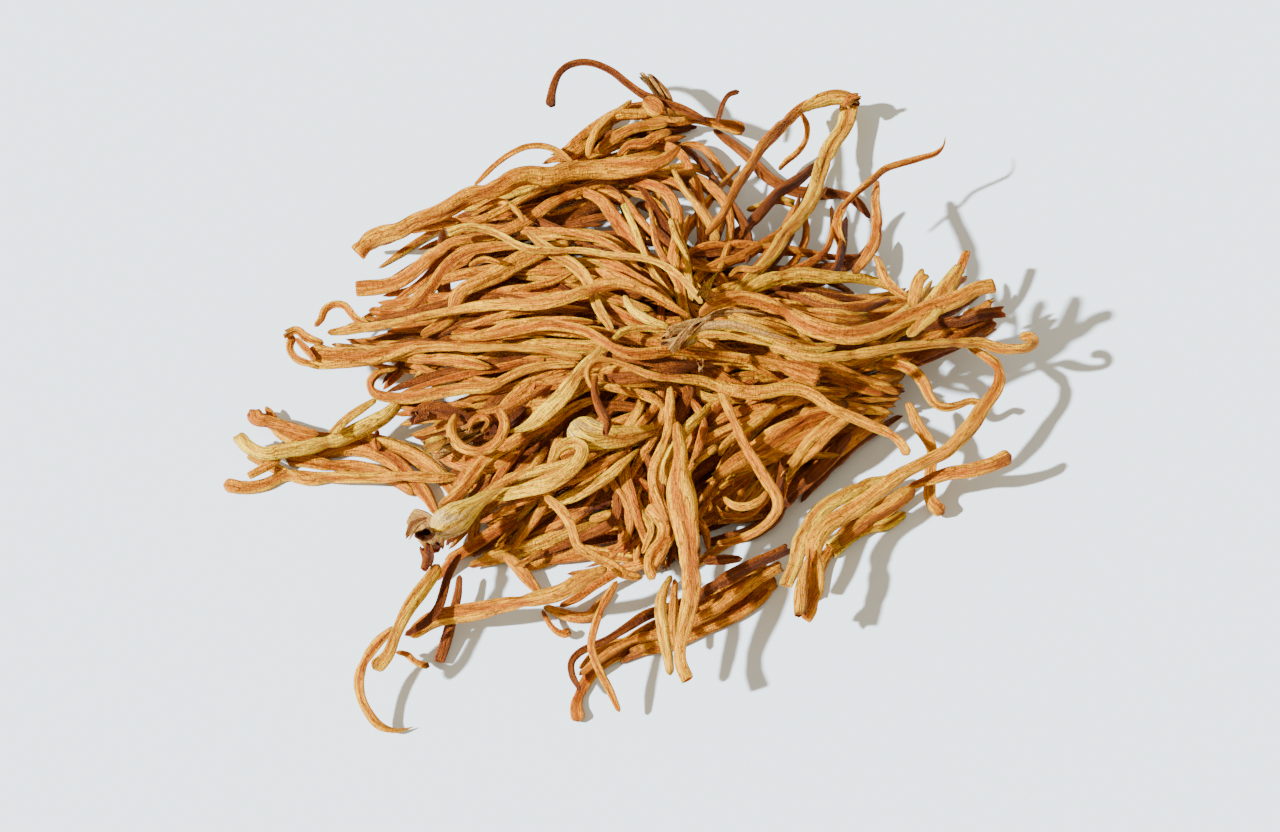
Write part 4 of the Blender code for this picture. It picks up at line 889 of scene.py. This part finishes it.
def piece_of(name, parts, material):
    """One mesh object from the arrays of one or more strands."""
    inside = np.array(cad_box) / MM
    vertices = np.concatenate([part[0] for part in parts])
    vertices = np.clip(vertices, inside[0] + BOX_MARGIN, inside[1] - BOX_MARGIN)
    faces, offset = [], 0
    for part in parts:
        faces += [[v + offset for v in face] for face in part[1]]
        offset += len(part[0])
    mesh = bpy.data.meshes.new(name)
    mesh.from_pydata((vertices * MM).tolist(), [], faces)
    mesh.attributes.new("grain", "FLOAT_VECTOR", "POINT").data.foreach_set(
        "vector", np.concatenate([part[2] for part in parts]).astype(np.float32).ravel())
    mesh.attributes.new("marks_and_shade", "FLOAT_COLOR", "POINT").data.foreach_set(
        "color", np.concatenate([part[3] for part in parts]).astype(np.float32).ravel())
    mesh.shade_smooth()
    mesh.materials.append(material)
    piece = bpy.data.objects.new(name, mesh)
    bpy.context.scene.collection.objects.link(piece)
    return piece


# ---------------------------------------------------------------- the small strands in between

def on_table(points):
    """Where the camera sees these points against the table, and how far along that way they are."""
    share = LAID_FROM[2] / (LAID_FROM[2] - points[:, 2:])
    table = LAID_FROM + (points - LAID_FROM) * share
    return table[:, :2], np.linalg.norm(points - table, axis=1)


def blurred_grid(grid, radius):
    """A grid averaged with its neighbours by a bell curve, whose radius is in millimetres."""
    reach = int(3 * radius / CELL)
    bell = np.exp(-0.5 * (np.arange(-reach, reach + 1) * CELL / radius) ** 2)
    for _ in range(2):
        grid = np.array([np.convolve(row, bell, mode="same") for row in grid]).T
    return grid


def cells_at(places):
    """The grid's row and column at each place on the table."""
    found = np.clip(((places + REACH) / CELL).astype(int), 0, CELLS - 1)
    return found[..., 1], found[..., 0]


def prints_of(table, half_width, half_depth):
    """The cells under each point of a strand, and how far its surface stands from its middle there."""
    offsets = np.arange(-PRINT_REACH, PRINT_REACH + 1) * CELL
    x, y = (grid.ravel() for grid in np.meshgrid(offsets, offsets))
    share = np.hypot(x, y * VIEW_SLANT)[None] / half_width[:, None]
    depth = half_depth[:, None] * np.sqrt(np.maximum(1 - share**2, 0))
    return cells_at(table[:, None] + np.stack([x, y], axis=1)[None]), np.where(share < 1, depth, np.nan)


def inside_packed(places):
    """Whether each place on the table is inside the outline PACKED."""
    corners = np.array(PACKED, float)
    inside = np.zeros(len(places), bool)
    for (x0, y0), (x1, y1) in zip(corners, np.roll(corners, -1, axis=0)):
        if y0 == y1:
            continue
        spans = (y0 > places[:, 1]) != (y1 > places[:, 1])
        inside ^= spans & (places[:, 0] < x0 + (places[:, 1] - y0) / (y1 - y0) * (x1 - x0))
    return inside


class Ground:
    """What the named strands leave free: how high filler may reach, and which way strands run."""

    def __init__(self, courses):
        self.top = np.zeros((CELLS, CELLS))
        self.ceiling = np.full((CELLS, CELLS), np.inf)
        lifts = np.zeros((CELLS, CELLS))
        counts = np.zeros((CELLS, CELLS))
        along_x = np.zeros((CELLS, CELLS))
        along_both = np.zeros((CELLS, CELLS))
        for course in courses:
            table, lift = on_table(course.points)
            way = unit(LAID_FROM - course.points)
            half_depth = depth_along(course.points, way, course.half_thick)
            cells, depth = prints_of(table, course.half_width, half_depth)
            np.fmin.at(self.ceiling, cells, lift[:, None] - depth)
            heading = unit(np.gradient(table, axis=0))
            middle = cells_at(table)
            np.add.at(lifts, middle, lift)
            np.add.at(counts, middle, 1)
            np.add.at(along_x, middle, heading[:, 0] ** 2 - heading[:, 1] ** 2)
            np.add.at(along_both, middle, 2 * heading[:, 0] * heading[:, 1])
        weight = blurred_grid(counts, LEVEL_BLUR)
        level = blurred_grid(lifts, LEVEL_BLUR) / np.maximum(weight, 1e-6)
        self.level = np.where(weight > 1.0, level, LOOSE_LEVEL)
        self.open = np.isinf(self.ceiling)
        self.ceiling = np.where(self.open, self.level + 1.0, self.ceiling)
        along_both, along_x = (blurred_grid(grid, FIELD_BLUR) for grid in (along_both, along_x))
        self.turn = 0.5 * np.arctan2(along_both, along_x)
        y, x = np.meshgrid(*[np.arange(CELLS) * CELL - REACH + CELL / 2] * 2, indexing="ij")
        self.places = np.stack([x.ravel(), y.ravel()], axis=1)
        start = np.c_[self.places, np.zeros(len(self.places))]
        self.top = over_heart(start, unit(LAID_FROM - start), np.zeros(len(start))).reshape(CELLS, CELLS)
        self.packed = inside_packed(self.places).reshape(CELLS, CELLS)

    def wandering_line(self, rng, place, length, offset):
        """A line on the table through this place, following the way the strands around it run."""
        halves = []
        bend = rng.normal(0, 0.012)
        # How early the line stops, so that lines don't all end at the outline.
        shy = rng.normal(0, 3.5, 2)
        for way in (1, -1):
            heading = self.turn[cells_at(place)] + offset + (0 if way > 0 else np.pi)
            here, line, drift = place, [], 0.0
            for _ in range(int(length / 2)):
                axis = self.turn[cells_at(here)] + offset
                off = (axis - heading + np.pi / 2) % np.pi - np.pi / 2
                drift = 0.85 * drift + rng.normal(0, 0.035)
                heading += 0.22 * off + drift * 0.5 + way * bend
                here = here + np.array([np.cos(heading), np.sin(heading)])
                if not (self.packed[cells_at(here)] and self.packed[cells_at(here + shy)]):
                    break
                line.append(here)
            halves.append(line)
        return np.array(halves[1][::-1] + [place] + halves[0])


def generated_line(sort, ground, place, rng):
    """A line on the table for a generated strand of this sort, through this place."""
    return ground.wandering_line(rng, place, rng.uniform(*sort.lengths), rng.normal(0, sort.turning))


def generated_start(sort, line, rng):
    """A generated strand before it is raised: its points, their ways, half widths and half depths."""
    start = np.c_[line, np.zeros(len(line))]
    half_width = along(rng.uniform(*sort.half_widths) * np.array(sort.outline), len(line))
    return start, unit(LAID_FROM - start), half_width, half_width * rng.uniform(*ROUNDNESS)


def fill_courses(ground, rng):
    """Small strands stacked from the table and the heart up, under and between the named ones."""
    courses = []
    for attempt in range(FILL_TRIES):
        # Later strands may also be held up near the named ones around them.
        stage = attempt / FILL_TRIES
        if attempt % 10 == 0:
            room = np.where(ground.packed, ground.ceiling - ground.top - FILL_ROOM, 0)
            chance = np.cumsum(room.clip(0, FILL_MOST_ROOM))
        pick = np.searchsorted(chance, rng.uniform(0, chance[-1]))
        line = generated_line(FILL, ground, ground.places[pick], rng)
        if len(line) < SHORTEST:
            continue
        start, way, half_width, half_depth = generated_start(FILL, line, rng)
        cells, depth = prints_of(line, half_width, half_depth)
        bound = np.nanmax(ground.top[cells] + depth, axis=1) + FILL_GAP
        raised = (ground.level[cells_at(line)] - 2.5) * min(1.5 * stage, 1.0) * rng.uniform(0.6, 1.0)
        least = np.maximum(np.maximum(bound, raised), (half_depth + FLOOR_GAP) / way[:, 2])
        lift = stiff_over(least, 1.0)
        slack = np.nanmin(ground.ceiling[cells] - depth, axis=1) - lift
        fits = np.r_[False, slack > -SQUEEZE, False]
        turns = np.flatnonzero(np.diff(fits.astype(int)))
        runs = [(end - begin, begin, end) for begin, end in zip(turns[::2], turns[1::2])]
        if not runs or max(runs)[0] < SHORTEST:
            continue
        _, begin, end = max(runs)
        run = slice(begin, end)
        np.fmax.at(ground.top, tuple(axis[run] for axis in cells), (lift[:, None] + depth)[run])
        height = np.median(lift[run] / ground.level[cells_at(line[run])])
        from_end = np.minimum(np.arange(end - begin), np.arange(end - begin)[::-1])
        dip = FILL_DIP * np.clip(1 - from_end / FILL_DIP_REACH, 0, 1) ** 2
        taper = np.clip(0.4 + from_end / FILL_DIP_REACH, 0, 1)
        half_width, half_depth = half_width[run] * taper, half_depth[run] * taper
        lift = np.maximum(lift[run] - dip, (half_depth + FLOOR_GAP) / way[run, 2])
        points = start[run] + way[run] * lift[:, None]
        side = unit(np.cross(np.gradient(points, axis=0), way[run]))
        courses.append((Course(points, half_width, half_depth, side), height))
    return courses


def bed_courses(ground, rng):
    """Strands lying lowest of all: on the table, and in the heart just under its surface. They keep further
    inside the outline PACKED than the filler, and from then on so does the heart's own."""
    courses = []
    full = blurred_grid(np.ones_like(ground.top), BED_INSET)
    ground.packed = blurred_grid(ground.packed.astype(float), BED_INSET) > 0.75 * full
    for _ in range(BED_TRIES):
        pick = rng.choice(np.flatnonzero(ground.packed.ravel()))
        if ground.places[pick][1] > BED_TOP and rng.uniform() > BED_ABOVE:
            continue
        line = generated_line(BED, ground, ground.places[pick], rng)
        if len(line) < SHORTEST:
            continue
        start, way, half_width, half_depth = generated_start(BED, line, rng)
        deep = rng.uniform(0.0, BED_DEEPEST)
        on_heart = over_heart(start, way, -half_depth - deep)
        least = np.maximum(on_heart, (half_depth + FLOOR_GAP + (BED_DEEPEST - deep) * 0.6) / way[:, 2])
        cells, depth = prints_of(line, half_width, half_depth)
        lift = stiff_over(least, 1.0)
        if np.median(np.nanmin(ground.ceiling[cells] - depth, axis=1) - lift) < -SQUEEZE:
            continue
        points = start + way * lift[:, None]
        side = unit(np.cross(np.gradient(points, axis=0), way))
        courses.append((Course(points, half_width, half_depth, side), np.mean(on_heart > 0) > 0.5))
    return courses


def dome_line(rng, ground):
    """A line over the heart's surface, following the way the strands above it run."""
    turn = rng.uniform(0, 2 * np.pi)
    spread = np.sqrt(rng.uniform(0, 0.97))
    place = HEART_CENTRE[:2] + HEART_HALF[:2] * spread * np.array([np.cos(turn), np.sin(turn)])
    line = generated_line(INNER, ground, place, rng)
    out = (((line - HEART_CENTRE[:2]) / HEART_HALF[:2]) ** 2).sum(axis=1)
    line = line[out < 0.985]
    return line, out[out < 0.985]


def inner_courses(rng, ground):
    """The heart's strands, each pressed from inside against the dome or the strands already there."""
    heap = Heap()
    courses = []
    focus = HEART_CENTRE - (0, 0, HEART_HALF[2])
    for _ in range(INNER_TRIES):
        line, out = dome_line(rng, ground)
        if len(line) < INNER_SHORTEST or np.linalg.norm(np.diff(line, axis=0), axis=1).max() > 2:
            continue
        start = np.c_[line, HEART_CENTRE[2] + HEART_HALF[2] * np.sqrt(1 - out)]
        way = unit(focus - start)
        half_width = along(rng.uniform(*INNER.half_widths) * np.array(INNER.outline), len(line))
        half_thick = half_width * rng.uniform(*INNER_ROUNDNESS)
        course, half_depth = lay(start, way, half_width, half_thick, half_thick + 0.1, heap)
        sunk = np.linalg.norm(course.points - start, axis=1)
        if sunk.max() > INNER_DEEPEST or (course.points[:, 2] - half_width).min() < 0.1:
            continue
        heap.add(course.points, half_width, half_depth)
        courses.append(course)
    return courses


# ---------------------------------------------------------------- materials

def node(tree, kind, inputs=None, **settings):
    """A new shader node. inputs maps a socket to a value, or to another node's output."""
    made = tree.nodes.new(kind)
    for key, value in settings.items():
        setattr(made, key, value)
    for key, value in (inputs or {}).items():
        if isinstance(value, bpy.types.NodeSocket):
            tree.links.new(value, made.inputs[key])
        else:
            made.inputs[key].default_value = value
    return made


def noise(tree, vector, scale, stretch, detail=3.0):
    """Noise on the strand's own grain, stretched along it."""
    placed = node(tree, "ShaderNodeVectorMath", {0: vector, 1: stretch}, operation="MULTIPLY")
    made = node(tree, "ShaderNodeTexNoise", {"Vector": placed.outputs[0], "Scale": scale, "Detail": detail})
    return made.outputs["Fac"]


def band(tree, value, low, high, to_low=0.0, to_high=1.0):
    """A value eased from one range onto another."""
    ranges = {"Value": value, "From Min": low, "From Max": high, "To Min": to_low, "To Max": to_high}
    return node(tree, "ShaderNodeMapRange", ranges, interpolation_type="SMOOTHSTEP").outputs["Result"]


def mixed(tree, share, first, second):
    """The first colour, with this share of the second mixed in."""
    made = node(tree, "ShaderNodeMix", data_type="RGBA")
    for index, value in ((0, share), (6, first), (7, second)):
        if isinstance(value, bpy.types.NodeSocket):
            tree.links.new(value, made.inputs[index])
        else:
            made.inputs[index].default_value = (*value, 1) if index else value
    return made.outputs[2]


def math(tree, operation, first, second):
    return node(tree, "ShaderNodeMath", {0: first, 1: second}, operation=operation).outputs[0]


def strand_material(slot):
    """Dried fungus: streaks along the strand, browned ends and specks, painted shade in its furrows, cracks
    and hollows and on the deepest strands, and a little light inside."""
    lit, body, deep = TONES[slot]
    made = bpy.data.materials.new(slot)
    made.use_nodes = True
    tree = made.node_tree
    shader = tree.nodes["Principled BSDF"]
    grain = node(tree, "ShaderNodeAttribute", attribute_name="grain").outputs["Vector"]
    marks_and_shade = node(tree, "ShaderNodeAttribute", attribute_name="marks_and_shade").outputs["Color"]
    split = node(tree, "ShaderNodeSeparateColor", {"Color": marks_and_shade}).outputs
    furrow, brown_and_shade, tint = split["Red"], split["Green"], split["Blue"]

    streaks = noise(tree, grain, 1.0, (0.16, 2.2, 2.2))
    patches = noise(tree, grain, 1.0, (0.13, 0.35, 0.35))
    specks = noise(tree, grain, 1.0, (3.2, 4.0, 4.0), 2.0)
    wrinkles = noise(tree, grain, 1.0, (0.5, 4.2, 4.2), 4.0)
    creases = noise(tree, grain, 1.0, (3.2, 1.0, 1.0), 2.0)
    cracks = None
    for size in (1.1, 2.6):
        lines = noise(tree, grain, 1.0, (0.12 * size, size, size), 2.0)
        lines = math(tree, "ABSOLUTE", math(tree, "SUBTRACT", lines, 0.5), 0.0)
        found = band(tree, lines, 0.0, 0.028, 1.0, 0.0)
        if cracks is None:
            cracks = found
        else:
            cracks = math(tree, "MAXIMUM", cracks, math(tree, "MULTIPLY", found, 0.6))

    lightness = math(tree, "ADD", band(tree, streaks, 0.32, 0.68), math(tree, "SUBTRACT", tint, 0.5))
    colour = mixed(tree, lightness, body, lit)
    colour = mixed(tree, band(tree, lightness, 1.0, 1.7), colour, CREAM)
    colour = mixed(tree, band(tree, patches, 0.48, 0.70, 0.0, 0.45), colour, deep)
    # Painted shade in the furrows, pinches and hollows, in the deep colour.
    colour = mixed(tree, band(tree, furrow, 0.22, 0.85, 0.0, 0.85), colour, deep)
    # Painted shade in the cracks.
    colour = mixed(tree, math(tree, "MULTIPLY", cracks, 0.75), colour, CRACK_SHADE)
    colour = mixed(tree, band(tree, specks, 0.66, 0.78, 0.0, 0.45), colour, BROWN_AND_SHADE)
    # Brown tips and random browning, with painted shade in hollows and on the deep strands.
    colour = mixed(tree, band(tree, brown_and_shade, 0.2, 1.0, 0.0, 0.9), colour, BROWN_AND_SHADE)
    tree.links.new(colour, shader.inputs["Base Color"])

    tree.links.new(band(tree, streaks, 0.3, 0.7, 0.72, 0.5), shader.inputs["Roughness"])
    height = math(tree, "ADD", wrinkles, math(tree, "MULTIPLY", creases, 0.6))
    height = math(tree, "SUBTRACT", height, math(tree, "MULTIPLY", cracks, 0.8))
    bump = node(tree, "ShaderNodeBump", {"Height": height, "Strength": 1.0, "Distance": BUMP_DEPTH})
    tree.links.new(bump.outputs["Normal"], shader.inputs["Normal"])
    shader.inputs["Subsurface Weight"].default_value = INNER_GLOW
    shader.inputs["Subsurface Radius"].default_value = GLOW_COLOUR
    shader.inputs["Subsurface Scale"].default_value = GLOW_DEPTH
    shader.inputs["Specular IOR Level"].default_value = SPECULAR
    return made


# ---------------------------------------------------------------- the stage

def floor():
    mesh = bpy.data.meshes.new("floor")
    corners = [(x * FLOOR_HALF, y * FLOOR_HALF, 0) for x, y in ((-1, -1), (1, -1), (1, 1), (-1, 1))]
    mesh.from_pydata(corners, [], [(0, 1, 2, 3)])
    made = bpy.data.materials.new("floor")
    made.use_nodes = True
    shader = made.node_tree.nodes["Principled BSDF"]
    shader.inputs["Base Color"].default_value = FLOOR_COLOUR
    shader.inputs["Roughness"].default_value = 0.9
    shader.inputs["Specular IOR Level"].default_value = 0.1
    mesh.materials.append(made)
    piece = bpy.data.objects.new("floor", mesh)
    bpy.context.scene.collection.objects.link(piece)


def lights():
    sun = bpy.data.lights.new("sun", "SUN")
    sun.energy = SUN_ENERGY
    sun.angle = np.radians(SUN_BLUR)
    sun.color = SUN_COLOUR
    lamp = bpy.data.objects.new("sun", sun)
    travel = Vector((*SUN_TRAVEL, -np.tan(np.radians(SUN_HEIGHT))))
    lamp.rotation_euler = travel.to_track_quat("-Z", "Y").to_euler()
    bpy.context.scene.collection.objects.link(lamp)
    world = bpy.data.worlds.new("soft studio light")
    world.use_nodes = True
    world.node_tree.nodes["Background"].inputs["Color"].default_value = SKY_COLOUR
    world.node_tree.nodes["Background"].inputs["Strength"].default_value = 1.0
    bpy.context.scene.world = world


def camera():
    data = bpy.data.cameras.new("camera")
    data.lens = LENS
    data.sensor_width = SENSOR
    data.clip_start = 0.01
    made = bpy.data.objects.new("camera", data)
    made.location = CAMERA_PLACE * MM
    made.rotation_euler = (np.radians(CAMERA_TILT), 0, 0)
    bpy.context.scene.collection.objects.link(made)
    bpy.context.scene.camera = made


# ---------------------------------------------------------------- all together

def add_piece(name, parts, slot, materials, replaced=None):
    """Adds strands as one piece, in place of a CAD node where one is named."""
    piece = piece_of(name, parts, materials[slot])
    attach(piece, "root")
    if replaced:
        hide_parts(replaced)


def add_groups(name, slot, parts, materials, replaced=None):
    for start in range(0, len(parts), GROUP):
        add_piece(f"{name}_{slot}_{start}", parts[start:start + GROUP], slot, materials, replaced)


def add_small(small, heap, seed, materials, gap=GAP):
    """Lays a small strand on the heap and adds it."""
    rng = np.random.default_rng(seed)
    course, ends = small_course(small, heap, gap)
    parts = [strand_arrays(course, ends, rng, FINE_STEP, FINE_SIDES, rng.uniform(-TINT, TINT))]
    add_piece(small.name, parts, small.slot, materials)
    return course


def add_named(name, seed, slots, materials, heap):
    """Adds a CAD strand's finer shape, in its place."""
    rng = np.random.default_rng(seed)
    course = course_of(frame["nodes"][name])
    way = unit(LAID_FROM - course.points)
    heap.add(course.points, course.half_width, depth_along(course.points, way, course.half_thick))
    if name in FIBRES:
        fibres = fibres_of(course, FIBRES[name], rng)
        parts = [strand_arrays(fibre, ("frayed", "point"), rng, FINE_STEP, FILL_SIDES,
                               rng.uniform(-FIBRE_TINT, FIBRE_TINT)) for fibre in fibres]
    else:
        ends = ENDS.get(name, ("plain", "plain"))
        parts = [strand_arrays(course, ends, rng, FINE_STEP, FINE_SIDES, rng.uniform(-TINT, TINT))]
    add_piece(name + "_strand", parts, slots[name], materials, name)
    return course


def picked(rng, shares, count=None):
    return rng.choice(list(shares), count, p=list(shares.values()))


def add_fill(ground, materials):
    rng = np.random.default_rng(FILL_SEED)
    groups = {}
    for course, height in fill_courses(ground, rng):
        slot = picked(rng, FILL_HIGH_SHARES if height > FILL_HIGH_FROM else FILL_LOW_SHARES)
        ends = tuple(picked(rng, FILL_END_SHARES, 2))
        groups.setdefault(slot, []).append(
            strand_arrays(course, ends, rng, FILL_STEP, FILL_SIDES, rng.uniform(*FILL_TINTS)))
    for slot, parts in groups.items():
        add_groups("fill", slot, parts, materials)


def deep_strand(course, rng, tints):
    tint = rng.uniform(*tints)
    return strand_arrays(course, ("plain", "plain"), rng, DEEP_STEP, DEEP_SIDES, tint, DEEP_SHADE)


def add_bed(ground, materials):
    rng = np.random.default_rng(BED_SEED)
    groups = {}
    for course, on_heart in bed_courses(ground, rng):
        slot = picked(rng, BED_SHARES)
        groups.setdefault((slot, on_heart), []).append(deep_strand(course, rng, BED_TINTS))
    for (slot, on_heart), parts in groups.items():
        if on_heart:
            add_groups("inner_bed", slot, parts, materials, "inner_strands")
        else:
            add_groups("table_bed", slot, parts, materials)


def add_inner(ground, materials):
    rng = np.random.default_rng(INNER_SEED)
    groups = {}
    for course in inner_courses(rng, ground):
        slot = picked(rng, INNER_SHARES)
        groups.setdefault(slot, []).append(deep_strand(course, rng, INNER_TINTS))
    for slot, parts in groups.items():
        add_piece(f"inner_strands_{slot}", parts, slot, materials, "inner_strands")


def main():
    camera()
    lights()
    floor()
    slots = {row["node"]: row["material_slot"] for row in frame["record"]["subparts"]}
    materials = {slot: strand_material(slot) for slot in TONES}
    heap, low_heap = Heap(), Heap()
    courses = [
        add_small(layer, heap, seed, materials) if isinstance(layer, Small)
        else add_named(layer, seed, slots, materials, heap)
        for seed, layer in enumerate(LAYERS)
    ]
    for seed, small in enumerate(LOW_EXTRAS, LOW_SEED):
        courses.append(add_small(small, low_heap, seed, materials, PRESSED))
    for seed, small in enumerate(TOP_EXTRAS, TOP_SEED):
        add_small(small, heap, seed, materials, PRESSED)
    for seed, stump in enumerate(STUMPS, STUMP_SEED):
        rng = np.random.default_rng(seed)
        course = stump_course(stump, heap)
        parts = [strand_arrays(course, ("plain", "frayed"), rng, STUMP_STEP, FINE_SIDES, STUMP_TINT)]
        add_piece(stump.name, parts, stump.slot, materials)
    ground = Ground(courses)
    add_fill(ground, materials)
    add_bed(ground, materials)
    add_inner(ground, materials)


main()
